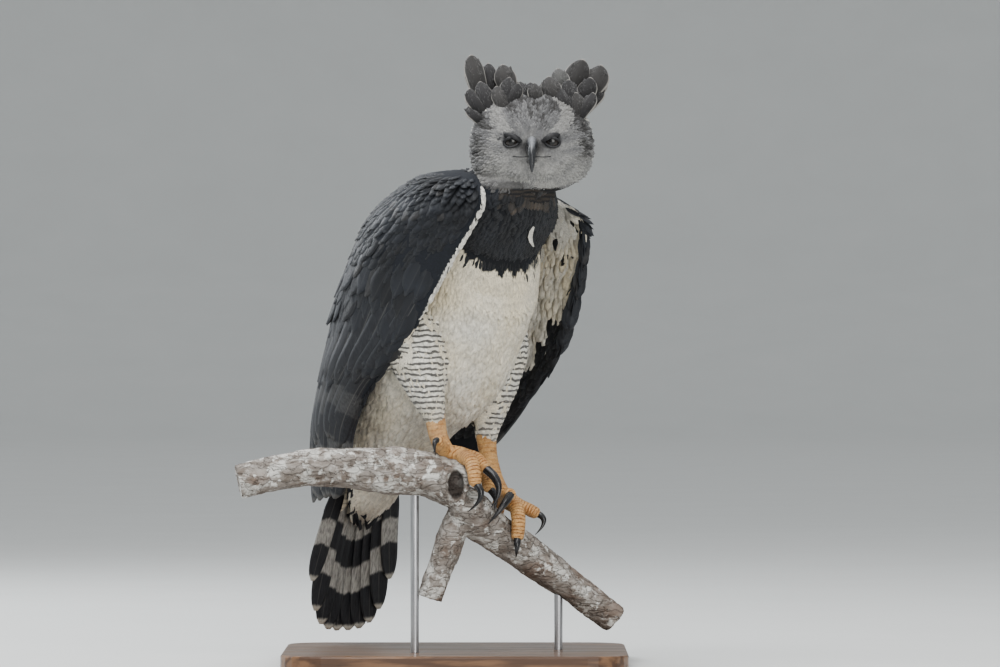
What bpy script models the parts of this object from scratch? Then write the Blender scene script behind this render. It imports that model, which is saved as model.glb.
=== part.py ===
# Harpy eagle on a cut length of branch, life size, as a still museum model.
# The bird is laid out in its own terms: side (its left is plus), ahead (towards
# its breast) and up. Its body is turned on the branch and its head faces -Y.
# Metres, +Z up, origin on the floor under the middle of the display base.

import math

import bmesh
import bpy
from mathutils import Vector

# What the whole model is set out from
BODY_TURN = math.radians(38)          # the body's turn from -Y towards +X
BODY_AT = Vector((0.022, 0.0, 0.0))   # where side 0, ahead 0 stands
HEAD_AT = Vector((0.1105, -0.085, 0.7465))
GAP = 0.0003                          # left between pieces that touch
CUT_GROWTH = 0.0004                   # how far a neighbour is swollen before it cuts
EDGE_REACH = 4.0                      # most that a sharp edge is pushed out, in growths

BASE_LENGTH, BASE_DEPTH, BASE_HEIGHT = 0.50, 0.46, 0.020
BASE_MIDDLE = Vector((0.0, 0.045, 0.0))
BASE_CORNER = 0.060
BASE_EDGE = 0.003
ROD_RADIUS = 0.006

# Body sections: ahead, up, half width, half depth
TORSO = (
    (0.076, 0.690, 0.028, 0.026),
    (0.067, 0.679, 0.066, 0.058),
    (0.042, 0.656, 0.094, 0.087),
    (0.011, 0.629, 0.110, 0.117),
    (-0.020, 0.594, 0.116, 0.141),
    (-0.060, 0.531, 0.116, 0.149),
    (-0.094, 0.465, 0.110, 0.141),
    (-0.142, 0.403, 0.090, 0.112),
    (-0.185, 0.342, 0.072, 0.078),
    (-0.214, 0.287, 0.058, 0.050),
    (-0.236, 0.245, 0.046, 0.030),
    (-0.252, 0.215, 0.030, 0.012),
)
NECK = (
    (0.050, 0.636, 0.096, 0.070),
    (0.074, 0.664, 0.100, 0.064),
    (0.094, 0.690, 0.082, 0.062),
    (0.108, 0.718, 0.062, 0.056),
)
THIGHS = {
    "right": (
        (-0.075, -0.055, 0.530, 0.044, 0.054),
        (-0.080, -0.030, 0.485, 0.046, 0.056),
        (-0.080, -0.018, 0.445, 0.041, 0.050),
        (-0.076, -0.008, 0.405, 0.031, 0.037),
        (-0.070, -0.001, 0.372, 0.022, 0.025),
        (-0.066, 0.002, 0.350, 0.0165, 0.018),
    ),
    "left": (
        (0.075, -0.060, 0.520, 0.044, 0.054),
        (0.080, -0.042, 0.470, 0.045, 0.055),
        (0.076, -0.038, 0.4275, 0.040, 0.048),
        (0.069, -0.040, 0.384, 0.033, 0.036),
        (0.062, -0.040, 0.345, 0.023, 0.025),
        (0.059, -0.038, 0.318, 0.0165, 0.018),
    ),
}
SHANKS = {
    "right": (
        (-0.066, 0.001, 0.362, 0.0140, 0.0150),
        (-0.064, 0.006, 0.335, 0.0130, 0.0140),
        (-0.060, 0.013, 0.316, 0.0125, 0.0135),
        (-0.055, 0.021, 0.303, 0.0135, 0.0150),
    ),
    "left": (
        (0.059, -0.039, 0.332, 0.0140, 0.0150),
        (0.057, -0.030, 0.300, 0.0120, 0.0130),
        (0.051, -0.008, 0.268, 0.0115, 0.0125),
        (0.0435, 0.017, 0.246, 0.0130, 0.0140),
    ),
}
TAIL = (
    (-0.205, 0.350, 0.030, 0.018),
    (-0.247, 0.290, 0.050, 0.014),
    (-0.270, 0.235, 0.060, 0.010),
    (-0.280, 0.200, 0.056, 0.006),
)
# Tail feathers, from the outer one to the middle of each half: side at the root
# and at the tip, how low the tip comes, width
TAIL_HALF = (
    (0.044, 0.071, 0.118, 0.030),
    (0.034, 0.058, 0.078, 0.034),
    (0.026, 0.044, 0.056, 0.036),
    (0.017, 0.028, 0.044, 0.037),
    (0.008, 0.010, 0.040, 0.037),
)
TAIL_STEP = 0.0013            # from one tail feather to the next, front to back
TAIL_ROOT = (-0.262, 0.262)   # ahead, up
TAIL_BEND = (-0.294, 0.150)
TAIL_END = (-0.312, 0.038)

# A wing is a curved plate. Each row: its leading edge, its trailing edge (both
# side, ahead, up), half thickness, and how far the middle bulges outwards.
WINGS = {
    "right": (
        ((-0.088, 0.125, 0.708), (-0.072, 0.072, 0.716), 0.010, 0.004),
        ((-0.098, 0.150, 0.694), (-0.062, -0.010, 0.712), 0.018, 0.022),
        ((-0.100, 0.163, 0.670), (-0.050, -0.085, 0.690), 0.020, 0.044),
        ((-0.103, 0.145, 0.636), (-0.045, -0.145, 0.652), 0.020, 0.060),
        ((-0.108, 0.105, 0.590), (-0.034, -0.178, 0.600), 0.018, 0.072),
        ((-0.112, 0.066, 0.540), (-0.046, -0.212, 0.540), 0.016, 0.064),
        ((-0.117, 0.030, 0.492), (-0.058, -0.226, 0.485), 0.013, 0.054),
        ((-0.119, -0.015, 0.447), (-0.070, -0.236, 0.435), 0.011, 0.044),
        ((-0.118, -0.080, 0.403), (-0.080, -0.246, 0.385), 0.009, 0.030),
        ((-0.114, -0.130, 0.350), (-0.088, -0.256, 0.335), 0.007, 0.018),
        ((-0.106, -0.155, 0.300), (-0.090, -0.260, 0.285), 0.005, 0.010),
        ((-0.100, -0.180, 0.250), (-0.092, -0.256, 0.240), 0.003, 0.005),
    ),
    "left": (
        ((0.118, 0.075, 0.668), (0.085, 0.035, 0.690), 0.010, 0.004),
        ((0.130, 0.096, 0.652), (0.066, -0.030, 0.690), 0.016, 0.018),
        ((0.139, 0.096, 0.626), (0.052, -0.085, 0.672), 0.018, 0.032),
        ((0.147, 0.081, 0.584), (0.044, -0.140, 0.628), 0.018, 0.044),
        ((0.151, 0.060, 0.538), (0.042, -0.180, 0.575), 0.016, 0.048),
        ((0.153, 0.036, 0.490), (0.050, -0.208, 0.520), 0.014, 0.046),
        ((0.154, 0.010, 0.447), (0.060, -0.222, 0.468), 0.012, 0.040),
        ((0.152, -0.030, 0.411), (0.072, -0.235, 0.418), 0.010, 0.032),
        ((0.150, -0.072, 0.370), (0.082, -0.246, 0.370), 0.008, 0.022),
        ((0.147, -0.125, 0.330), (0.092, -0.256, 0.325), 0.006, 0.013),
        ((0.143, -0.185, 0.293), (0.104, -0.262, 0.285), 0.004, 0.007),
        ((0.138, -0.240, 0.262), (0.116, -0.268, 0.255), 0.003, 0.003),
    ),
}

# Rows of feathers on each wing: where the row starts, how many, how far each
# reaches down the rows, its width and how far it stands off at its tip
WING_TIERS = (
    (0.9, 5, 1.60, 0.046, 0.0050),
    (2.0, 5, 1.80, 0.050, 0.0055),
    (3.2, 6, 2.00, 0.046, 0.0060),
    (4.6, 6, 2.70, 0.044, 0.0065),
    (6.4, 5, 4.10, 0.036, 0.0060),
)
TIER_FIRST, TIER_LAST = 0.50, 2.36    # turns between which a row's feathers stand
TIER_DRIFT = 0.16                     # how far each leans to the trailing edge
TIER_ROLL = 0.14                      # each one's near edge lies over its neighbour
ROOT_SINK = 0.0020
VANE_THICK = 0.0010
VANE_STATIONS = (0.0, 0.35, 0.75, 1.0)
VANE_WIDTHS = (0.66, 1.0, 0.92, 0.42)

# Head, about HEAD_AT: depth, and the scale of the face outline there
HEAD_RINGS = (
    (-0.062, 0.22),
    (-0.058, 0.55),
    (-0.050, 0.82),
    (-0.038, 0.97),
    (-0.026, 1.00),
    (-0.014, 0.96),
    (0.006, 0.92),
    (0.030, 0.84),
    (0.052, 0.68),
    (0.068, 0.46),
    (0.076, 0.20),
)
FACE_HALF_WIDTH, FACE_TOP, FACE_BOTTOM = 0.0915, 0.080, 0.070

EYE_SPREAD, EYE_DEPTH, EYE_UP, EYE_RADIUS = 0.0287, -0.0525, 0.0087, 0.0125
BILL_UPPER = (          # out from the face, up, half width, half depth
    (-0.040, 0.0020, 0.0100, 0.0150),
    (-0.060, 0.0015, 0.0095, 0.0145),
    (-0.076, -0.0010, 0.0085, 0.0130),
    (-0.089, -0.0070, 0.0068, 0.0100),
    (-0.096, -0.0170, 0.0050, 0.0070),
    (-0.099, -0.0270, 0.0034, 0.0045),
    (-0.099, -0.0360, 0.0014, 0.0018),
)
BILL_LOWER = (
    (-0.040, -0.0185, 0.0085, 0.0050),
    (-0.064, -0.0190, 0.0075, 0.0045),
    (-0.080, -0.0190, 0.0055, 0.0035),
    (-0.090, -0.0185, 0.0025, 0.0018),
)

CLAW_TAPER = (1.0, 0.96, 0.82, 0.58, 0.34, 0.11)
NOSTRIL_AT, NOSTRIL_SIZE = (0.0092, -0.066, 0.006), (0.0022, 0.0042, 0.0024)
BROW_ENDS = ((0.016, -0.060, 0.0115), (0.030, -0.058, 0.0205), (0.045, -0.050, 0.0215))
BROW_RADII = (0.0030, 0.0046, 0.0030)
LID_RADIUS, LID_THICK = 0.0092, 0.0024

# Crest feathers about HEAD_AT: root, tip, width. The widths along one are shares
CREST = (
    ((-0.0728, 0.012, 0.0783), (-0.0873, 0.030, 0.1363), 0.0261),
    ((-0.0626, 0.024, 0.0810), (-0.0626, 0.044, 0.1247), 0.0217),
    ((-0.0322, 0.010, 0.0812), (-0.0423, 0.020, 0.1218), 0.0290),
    ((-0.0664, 0.000, 0.0531), (-0.0895, 0.006, 0.0855), 0.0232),
    ((-0.0681, -0.004, 0.0412), (-0.0909, 0.000, 0.0594), 0.0174),
    ((-0.0350, -0.010, 0.0628), (-0.0191, -0.006, 0.0928), 0.0203),
    ((-0.0388, -0.014, 0.0553), (-0.0510, -0.008, 0.0885), 0.0217),
    ((-0.0589, 0.002, 0.0582), (-0.0742, 0.010, 0.0957), 0.0217),
    ((0.0494, 0.014, 0.0728), (0.0751, 0.032, 0.1298), 0.0333),
    ((0.0703, 0.020, 0.0762), (0.1012, 0.040, 0.1218), 0.0362),
    ((0.0461, 0.004, 0.0812), (0.0374, 0.014, 0.1160), 0.0246),
    ((0.0333, -0.004, 0.0725), (0.0244, 0.004, 0.1029), 0.0275),
    ((0.0547, -0.012, 0.0570), (0.0389, -0.006, 0.0870), 0.0246),
    ((0.0740, -0.012, 0.0465), (0.0635, -0.006, 0.0797), 0.0246),
    ((0.0775, -0.002, 0.0494), (0.0882, 0.004, 0.0797), 0.0203),
    ((0.0684, 0.006, 0.0641), (0.0853, 0.014, 0.1029), 0.0261),
    ((-0.0278, 0.036, 0.0665), (-0.0278, 0.058, 0.1015), 0.0261),
    ((0.0302, 0.036, 0.0694), (0.0302, 0.060, 0.1044), 0.0261),
    ((0.0747, 0.036, 0.0639), (0.0882, 0.062, 0.1044), 0.0261),
)
CREST_STATIONS = (0, 0.35, 0.65, 0.88, 1)
CREST_WIDTHS = (0.62, 0.86, 1.05, 1.0, 0.50)
CREST_BROAD = Vector((1, 0.2, 0))    # the way the broad side of each lies
CREST_THICK = 0.0016
CREST_SINK = 0.012
# The ruff: feathers round the back of the face, by their angle in degrees
RUFF_ANGLES = (-38, -22, -6, 10, 26, 154, 170, 186, 202, 218)
RUFF_WIDTH, RUFF_LENGTH, RUFF_DEPTH = 0.026, 0.050, 0.012
RUFF_STAND = 0.012

# The branch: x, y, z and radius
BRANCH = {
    "left": (
        (-0.312, -0.100, 0.268, 0.0247),
        (-0.239, -0.090, 0.282, 0.0268),
        (-0.181, -0.080, 0.289, 0.0283),
        (-0.104, -0.070, 0.2825, 0.0340),
        (-0.046, -0.060, 0.278, 0.0340),
        (0.000, -0.055, 0.2640, 0.0360),
        (0.018, -0.053, 0.258, 0.0300),
    ),
    "right": (
        (0.002, -0.050, 0.240, 0.0240),
        (0.023, -0.045, 0.2245, 0.0320),
        (0.052, -0.020, 0.197, 0.0295),
        (0.116, 0.015, 0.1505, 0.0270),
        (0.181, 0.040, 0.103, 0.0235),
        (0.234, 0.055, 0.063, 0.0215),
    ),
    "stub": (
        (0.010, -0.045, 0.222, 0.0200),
        (-0.003, -0.047, 0.195, 0.0210),
        (-0.020, -0.049, 0.145, 0.0205),
        (-0.036, -0.050, 0.097, 0.0190),
    ),
}
KNOT_AT = Vector((0.0015, -0.0900, 0.2625))
KNOT_HALF_WIDTH, KNOT_DEPTH, KNOT_HALF_HEIGHT = 0.0120, 0.012, 0.0220
KNOT_RIM = 1.28               # the raised rim's size, in sizes of the hollow
RODS = {"left": (-0.058, -0.0625, 0.275), "right": (0.150, 0.0285, 0.125)}   # x, y, height

# Toes: the middle line, each point with its radius, then the claw's base, its
# bend and its tip, with its radius at the base
TOES = ("inner", "middle", "outer", "hind")
TOE_UP = Vector((0.3, -0.5, 0.8))
SCUTE_STEPS, SCUTE_RISE = 4, 0.10
FEET = {
    "right": {
        "hub": (
            (-0.018, -0.052, 0.308, 0.0120),
            (0.006, -0.058, 0.304, 0.0130),
            (0.026, -0.062, 0.298, 0.0110),
        ),
        "inner": (
            ((0.010, -0.060, 0.304, 0.0105), (0.030, -0.064, 0.299, 0.0100), (0.044, -0.075, 0.286, 0.0090)),
            ((0.0440, -0.0750, 0.2860), (0.0630, -0.0890, 0.2600), (0.0520, -0.0950, 0.2300), 0.0068),
        ),
        "middle": (
            ((0.010, -0.066, 0.303, 0.0105), (0.022, -0.086, 0.297, 0.0100), (0.0275, -0.0990, 0.281, 0.0098),
             (0.029, -0.102, 0.264, 0.0085)),
            ((0.0295, -0.1025, 0.2650), (0.0370, -0.1100, 0.2460), (0.0190, -0.1070, 0.2245), 0.0055),
        ),
        "outer": (
            ((-0.014, -0.056, 0.310, 0.0100), (-0.021, -0.078, 0.3190, 0.0085),
             (-0.024, -0.092, 0.3260, 0.0075)),
            ((-0.0240, -0.0900, 0.3270), (-0.0290, -0.1030, 0.3220), (-0.0275, -0.1010, 0.3050), 0.0048),
        ),
        "hind": (
            ((0.012, -0.050, 0.303, 0.0105), (0.032, -0.036, 0.292, 0.0100), (0.0460, -0.040, 0.272, 0.0095),
             (0.0480, -0.050, 0.256, 0.0085)),
            ((0.0480, -0.0480, 0.2580), (0.0580, -0.0560, 0.2440), (0.0570, -0.0640, 0.2250), 0.0060),
        ),
    },
    "left": {
        "hub": (
            (0.066, 0.010, 0.250, 0.0120),
            (0.078, -0.002, 0.237, 0.0130),
            (0.094, -0.004, 0.228, 0.0110),
        ),
        "inner": (
            ((0.074, -0.006, 0.240, 0.0100), (0.075, -0.030, 0.2450, 0.0095),
             (0.080, -0.047, 0.2480, 0.0085)),
            ((0.0800, -0.0460, 0.2480), (0.0680, -0.0680, 0.2300), (0.0480, -0.0740, 0.2060), 0.0065),
        ),
        "middle": (
            ((0.082, -0.006, 0.234, 0.0105), (0.089, -0.022, 0.226, 0.0100), (0.0915, -0.036, 0.208, 0.0098),
             (0.090, -0.040, 0.184, 0.0085)),
            ((0.0900, -0.0400, 0.1860), (0.0895, -0.0500, 0.1720), (0.0880, -0.0460, 0.1570), 0.0055),
        ),
        "outer": (
            ((0.086, -0.003, 0.232, 0.0100), (0.104, -0.006, 0.2260, 0.0090),
             (0.118, -0.010, 0.2190, 0.0080)),
            ((0.1170, -0.0090, 0.2200), (0.1285, -0.0150, 0.2080), (0.1160, -0.0210, 0.1890), 0.0050),
        ),
        "hind": (
            ((0.074, 0.002, 0.238, 0.0105), (0.064, 0.018, 0.232, 0.0100), (0.060, 0.024, 0.216, 0.0090)),
            ((0.0600, 0.0240, 0.2190), (0.0600, 0.0360, 0.2020), (0.0680, 0.0340, 0.1800), 0.0062),
        ),
    },
}

COLOURS = {          # red, green, blue, roughness, metallic
    "plumage_white": (0.76, 0.73, 0.64, 0.80, 0.0),
    "plumage_black": (0.035, 0.038, 0.045, 0.62, 0.0),
    "plumage_grey": (0.42, 0.42, 0.42, 0.80, 0.0),
    "barred_leg": (0.62, 0.60, 0.54, 0.80, 0.0),
    "leg_skin": (0.75, 0.42, 0.14, 0.55, 0.0),
    "claw_horn": (0.020, 0.020, 0.022, 0.30, 0.0),
    "bill_horn": (0.045, 0.047, 0.050, 0.32, 0.0),
    "eye": (0.030, 0.022, 0.018, 0.08, 0.0),
    "bark": (0.48, 0.45, 0.42, 0.90, 0.0),
    "stand_wood": (0.16, 0.085, 0.045, 0.45, 0.0),
    "stand_steel": (0.42, 0.42, 0.43, 0.35, 1.0),
}


def clear_scene():
    for thing in list(bpy.data.objects):
        bpy.data.objects.remove(thing, do_unlink=True)


def collection(name):
    made = bpy.data.collections.new(name)
    bpy.context.scene.collection.children.link(made)
    return made


def material(name):
    red, green, blue, roughness, metallic = COLOURS[name]
    made = bpy.data.materials.get(name) or bpy.data.materials.new(name)
    made.use_nodes = True
    shader = made.node_tree.nodes["Principled BSDF"]
    shader.inputs["Base Color"].default_value = (red, green, blue, 1)
    shader.inputs["Roughness"].default_value = roughness
    shader.inputs["Metallic"].default_value = metallic
    return made


def add(name, shape, finish, into):
    """A bmesh made into a named object, with its faces turned outwards."""
    bmesh.ops.recalc_face_normals(shape, faces=shape.faces[:])
    mesh = bpy.data.meshes.new(name)
    shape.to_mesh(mesh)
    shape.free()
    made = bpy.data.objects.new(name, mesh)
    if finish:
        mesh.materials.append(material(finish))
    into.objects.link(made)
    return made


def bird(side, ahead, up):
    """A point of the body, given in the bird's own terms."""
    across, forward = math.cos(BODY_TURN) * side, math.sin(BODY_TURN) * ahead
    back = math.sin(BODY_TURN) * side - math.cos(BODY_TURN) * ahead
    return BODY_AT + Vector((across + forward, back, up))


LEFTWARDS = bird(1, 0, 0) - bird(0, 0, 0)


def between(rows, place):
    """A smooth blend of the rows' numbers at place, in rows, through every row."""
    first = min(max(int(place), 0), len(rows) - 2)
    part = place - first
    before, start = rows[max(first - 1, 0)], rows[first]
    end, after = rows[first + 1], rows[min(first + 2, len(rows) - 1)]
    return [
        0.5 * (2 * b + (c - a) * part + (2 * a - 5 * b + 4 * c - d) * part**2
               + (3 * b - a - 3 * c + d) * part**3)
        for a, b, c, d in zip(before, start, end, after)
    ]


def skin_rings(shape, rings):
    """Joins rings of points, each with as many as the last, and closes both ends."""
    count = len(rings[0])
    made = [[shape.verts.new(point) for point in ring] for ring in rings]
    for one, two in zip(made, made[1:]):
        for i in range(count):
            j = (i + 1) % count
            shape.faces.new((one[i], one[j], two[j]))
            shape.faces.new((one[i], two[j], two[i]))
    for ring in (made[0], made[-1]):
        middle = shape.verts.new(sum((v.co for v in ring), Vector()) / count)
        for i in range(count):
            shape.faces.new((ring[i], ring[(i + 1) % count], middle))


def tube(keys, across, sides=12, steps=2, grow=0.0, ripple=None):
    """A closed form along a path. Each key is x, y, z, half width and half depth;
    the width lies along the direction across."""
    keys = [tuple(key) if len(key) == 5 else (*key, key[3]) for key in keys]
    shape = bmesh.new()
    rings = []
    total = (len(keys) - 1) * steps
    for n in range(total + 1):
        place = n / steps
        x, y, z, wide, deep = between(keys, place)
        before = Vector(between(keys, max(place - 0.2, 0))[:3])
        after = Vector(between(keys, min(place + 0.2, len(keys) - 1))[:3])
        along = (after - before).normalized()
        width = (across - across.dot(along) * along).normalized()
        depth = along.cross(width)
        middle = Vector((x, y, z)) + along * grow * ((n == total) - (n == 0))
        ring = []
        for i in range(sides):
            turn = math.tau * i / sides
            swell = 1 + (ripple(place, turn) if ripple else 0)
            ring.append(
                middle
                + width * math.cos(turn) * (wide * swell + grow)
                + depth * math.sin(turn) * (deep * swell + grow)
            )
        rings.append(ring)
    skin_rings(shape, rings)
    return shape


def body_keys(rows):
    """Rows of ahead, up, half width, half depth made into keys of a tube."""
    return [(*bird(0, ahead, up), wide, deep) for ahead, up, wide, deep in rows]


def limb_keys(rows):
    return [(*bird(side, ahead, up), wide, deep) for side, ahead, up, wide, deep in rows]


def head_outline(turn):
    """How far the face reaches from its middle, in the direction turn."""
    across, up = math.cos(turn), math.sin(turn)
    tall = FACE_TOP if up > 0 else FACE_BOTTOM
    power = 2.35
    return (abs(across / FACE_HALF_WIDTH) ** power + abs(up / tall) ** power) ** (-1 / power)


def head_shape(sides=24, grow=0.0):
    shape = bmesh.new()
    rings = []
    for depth, scale in HEAD_RINGS:
        out = grow * ((depth == HEAD_RINGS[-1][0]) - (depth == HEAD_RINGS[0][0]))
        ring = []
        for i in range(sides):
            turn = math.tau * i / sides
            reach = head_outline(turn) * scale + grow
            ring.append(HEAD_AT + Vector((reach * math.cos(turn), depth + out, reach * math.sin(turn))))
        rings.append(ring)
    skin_rings(shape, rings)
    return shape


def wing_point(rows, place, turn):
    """A point on the wing's plate: place runs down the rows, turn goes round it."""
    flat = [(*lead, *trail, thick, bulge) for lead, trail, thick, bulge in rows]
    numbers = between(flat, place)
    lead, trail = bird(*numbers[:3]), bird(*numbers[3:6])
    thick, bulge = numbers[6:]
    outwards = -LEFTWARDS if numbers[0] < 0 else LEFTWARDS
    half = (lead - trail) / 2
    out = (outwards - outwards.dot(half.normalized()) * half.normalized()).normalized()
    return (lead + trail) / 2 + half * math.cos(turn) + out * (
        thick * math.sin(turn) + bulge * math.sin(turn) ** 2
    )


def wing_plate(rows, sides=16, steps=1, grow=0.0):
    shape = bmesh.new()
    skin_rings(shape, [
        [wing_point(rows, n / steps, math.tau * i / sides) for i in range(sides)]
        for n in range((len(rows) - 1) * steps + 1)
    ])
    if grow:
        bmesh.ops.recalc_face_normals(shape, faces=shape.faces[:])
        shape.normal_update()
        moves = [(v, v.normal * grow * min(v.calc_shell_factor(), EDGE_REACH)) for v in shape.verts]
        for v, move in moves:
            v.co += move
    return shape


def vane(points, widths, lies, thick):
    """A flat feather along points, lies giving its broad direction at each. Both
    faces are split alike."""
    shape = bmesh.new()
    made = []
    for n, (point, width, lie) in enumerate(zip(points, widths, lies)):
        before, after = points[max(n - 1, 0)], points[min(n + 1, len(points) - 1)]
        along = (after - before).normalized()
        broad = (lie - lie.dot(along) * along).normalized() * width / 2
        face = along.cross(broad).normalized() * thick / 2
        made.append([shape.verts.new(point + step) for step in (
            face - broad, face + broad, broad - face, -face - broad)])
    for one, two in zip(made, made[1:]):
        for i, j, first, last in ((0, 1, 1, 0), (1, 2, 1, 2), (2, 3, 2, 3), (3, 0, 3, 0)):
            shape.faces.new((one[i], one[j], two[first]))
            shape.faces.new((two[j], two[i], one[last]))
    for ring in (made[0], made[-1]):
        shape.faces.new(ring)
    return shape


def wing_feather(rows, start, turn, reach, width, stand, grow=0.0):
    """One feather lying down the wing's outer face, its root sunk in the plate."""
    small = 0.05
    points, lies = [], []
    for share in VANE_STATIONS:
        place = min(start + reach * share, len(rows) - 1 - small)
        there = turn + TIER_DRIFT * share
        point = wing_point(rows, place, there)
        down = wing_point(rows, place + small, there) - wing_point(rows, place - small, there)
        across = wing_point(rows, place, there + small) - wing_point(rows, place, there - small)
        outer = down.cross(across).normalized()
        if outer.dot(point - wing_point(rows, place, -there)) < 0:
            outer = -outer
        points.append(point + outer * (stand * share - ROOT_SINK))
        lies.append(across.normalized() + outer * TIER_ROLL)
    points[-1] += (points[-1] - points[-2]).normalized() * grow
    widths = [width * share + 2 * grow for share in VANE_WIDTHS]
    return vane(points, widths, lies, VANE_THICK + 2 * grow)


def wing_feathers(rows, cutters, grow=0.0):
    made = []
    for n, (start, count, reach, width, stand) in enumerate(WING_TIERS):
        for i in range(count):
            share = (i + 0.5 * (n % 2) * (count > 2)) / count
            turn = TIER_FIRST + (TIER_LAST - TIER_FIRST) * share
            longer = reach * (1 + 0.06 * math.sin(2.3 * i + n))
            made.append(cutter(wing_feather(rows, start, turn, longer, width, stand, grow), cutters))
    return made


def wing_cutters(rows, cutters):
    return [cutter(wing_plate(rows, grow=CUT_GROWTH), cutters)] + wing_feathers(rows, cutters, CUT_GROWTH)


def tail_feathers(cutters):
    made = []
    for sign in (-1, 1):
        for n, (root, tip, low, width) in enumerate(reversed(TAIL_HALF)):
            back = TAIL_STEP * (2 * n + (sign > 0))
            share = (TAIL_ROOT[1] - low) / (TAIL_ROOT[1] - TAIL_END[1])
            points = []
            for part in (0.0, 0.3, 0.65, 0.92, 1.0):
                place = part * share
                keys = (TAIL_ROOT, TAIL_BEND, TAIL_END)
                ahead, up = between(keys, 2 * place)
                points.append(bird(sign * (root + (tip - root) * part), ahead + back, up))
            widths = [width * part for part in (0.7, 0.9, 1.0, 0.86, 0.5)]
            made.append(cutter(vane(points, widths, [LEFTWARDS] * 5, VANE_THICK * 0.9), cutters))
    return made


def keep_largest(thing):
    """Leaves only the largest closed surface of a mesh."""
    shape = bmesh.new()
    shape.from_mesh(thing.data)
    bmesh.ops.remove_doubles(shape, verts=shape.verts[:], dist=1e-6)
    loose = set(shape.faces)
    pieces = []
    while loose:
        queue = [loose.pop()]
        piece = list(queue)
        while queue:
            for edge in queue.pop().edges:
                for face in edge.link_faces:
                    if face in loose:
                        loose.discard(face)
                        queue.append(face)
                        piece.append(face)
        pieces.append(piece)
    pieces.sort(key=lambda piece: abs(sum(
        face.calc_center_median().dot(face.normal) * face.calc_area() for face in piece)))
    for piece in pieces[:-1]:
        bmesh.ops.delete(shape, geom=piece, context="FACES")
    bmesh.ops.delete(shape, geom=[v for v in shape.verts if not v.link_faces], context="VERTS")
    shape.to_mesh(thing.data)
    shape.free()


def combine(thing, operation, others, solver="EXACT"):
    """Joins the others to a piece, or cuts them from it, and removes them."""
    tools = bpy.data.collections.new("tools")
    for other in others:
        tools.objects.link(other)
    change = thing.modifiers.new("change", "BOOLEAN")
    change.operation = operation
    change.operand_type = "COLLECTION"
    change.collection = tools
    change.solver = solver
    bpy.context.view_layer.update()
    graph = bpy.context.evaluated_depsgraph_get()
    result = bpy.data.meshes.new_from_object(thing.evaluated_get(graph))
    thing.modifiers.remove(change)
    thing.data = result
    for other in others:
        bpy.data.objects.remove(other, do_unlink=True)
    bpy.data.collections.remove(tools)
    keep_largest(thing)


def cutter(shape, cutters):
    return add("cutter", shape, None, cutters)


def torso_shape(grow=0.0):
    return tube(body_keys(TORSO), LEFTWARDS, sides=18, grow=grow)


def thigh_shape(side, grow=0.0):
    return tube(limb_keys(THIGHS[side]), LEFTWARDS, sides=14, grow=grow)


def shank_shape(side, grow=0.0):
    return tube(limb_keys(SHANKS[side]), LEFTWARDS, sides=10, steps=3, grow=grow)


def make_body(parts, cutters):
    torso = add("torso", torso_shape(), "plumage_white", parts)
    neck = add("neck", tube(body_keys(NECK), LEFTWARDS, sides=20, steps=3), "plumage_black", parts)
    head = add("head", head_shape(), "plumage_grey", parts)
    for side, rows in WINGS.items():
        wing = add(f"wing_{side}", wing_plate(rows), "plumage_black", parts)
        combine(wing, "UNION", wing_feathers(rows, cutters), "MANIFOLD")
        combine(torso, "DIFFERENCE", wing_cutters(rows, cutters), "MANIFOLD")
        combine(neck, "DIFFERENCE", wing_cutters(rows, cutters), "MANIFOLD")
    for piece in (torso, neck):
        ruff = [cutter(ruff_feather(angle, GAP), cutters) for angle in RUFF_ANGLES]
        combine(piece, "DIFFERENCE", [cutter(head_shape(grow=CUT_GROWTH), cutters)] + ruff, "MANIFOLD")
    combine(neck, "DIFFERENCE", [cutter(torso_shape(CUT_GROWTH), cutters)], "MANIFOLD")
    tail = add("tail", tube(body_keys(TAIL), LEFTWARDS, sides=16), "plumage_black", parts)
    combine(tail, "UNION", tail_feathers(cutters), "MANIFOLD")
    combine(tail, "DIFFERENCE", [cutter(torso_shape(CUT_GROWTH), cutters)], "MANIFOLD")
    return head


def make_leg(side, parts, cutters):
    thigh = add(f"thigh_{side}", thigh_shape(side), "barred_leg", parts)
    combine(thigh, "DIFFERENCE", [cutter(torso_shape(CUT_GROWTH), cutters)])
    combine(thigh, "DIFFERENCE", wing_cutters(WINGS[side], cutters), "MANIFOLD")
    shank = add(f"shank_{side}", shank_shape(side), "leg_skin", parts)
    combine(shank, "DIFFERENCE", [cutter(thigh_shape(side, CUT_GROWTH), cutters)])
    for limb in BRANCH:
        combine(shank, "DIFFERENCE", [cutter(branch_shape(limb, CUT_GROWTH), cutters)])


def claw_shape(base, bend, tip, radius, grow=0.0):
    """One even curve from the toe through the bend to the point."""
    base, bend, tip = Vector(base), Vector(bend), Vector(tip)
    pull = bend * 2 - (base + tip) / 2
    keys = []
    for i, share in enumerate(CLAW_TAPER):
        place = i / (len(CLAW_TAPER) - 1)
        at = base.lerp(pull, place).lerp(pull.lerp(tip, place), place)
        keys.append((*at, radius * share))
    return tube(keys, TOE_UP, sides=8, steps=1, grow=grow)


def scutes(place, turn):
    """The raised rings of horn across the top of a toe."""
    return SCUTE_RISE * (round(place * SCUTE_STEPS) % 2) * max(math.cos(turn), 0)


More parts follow.
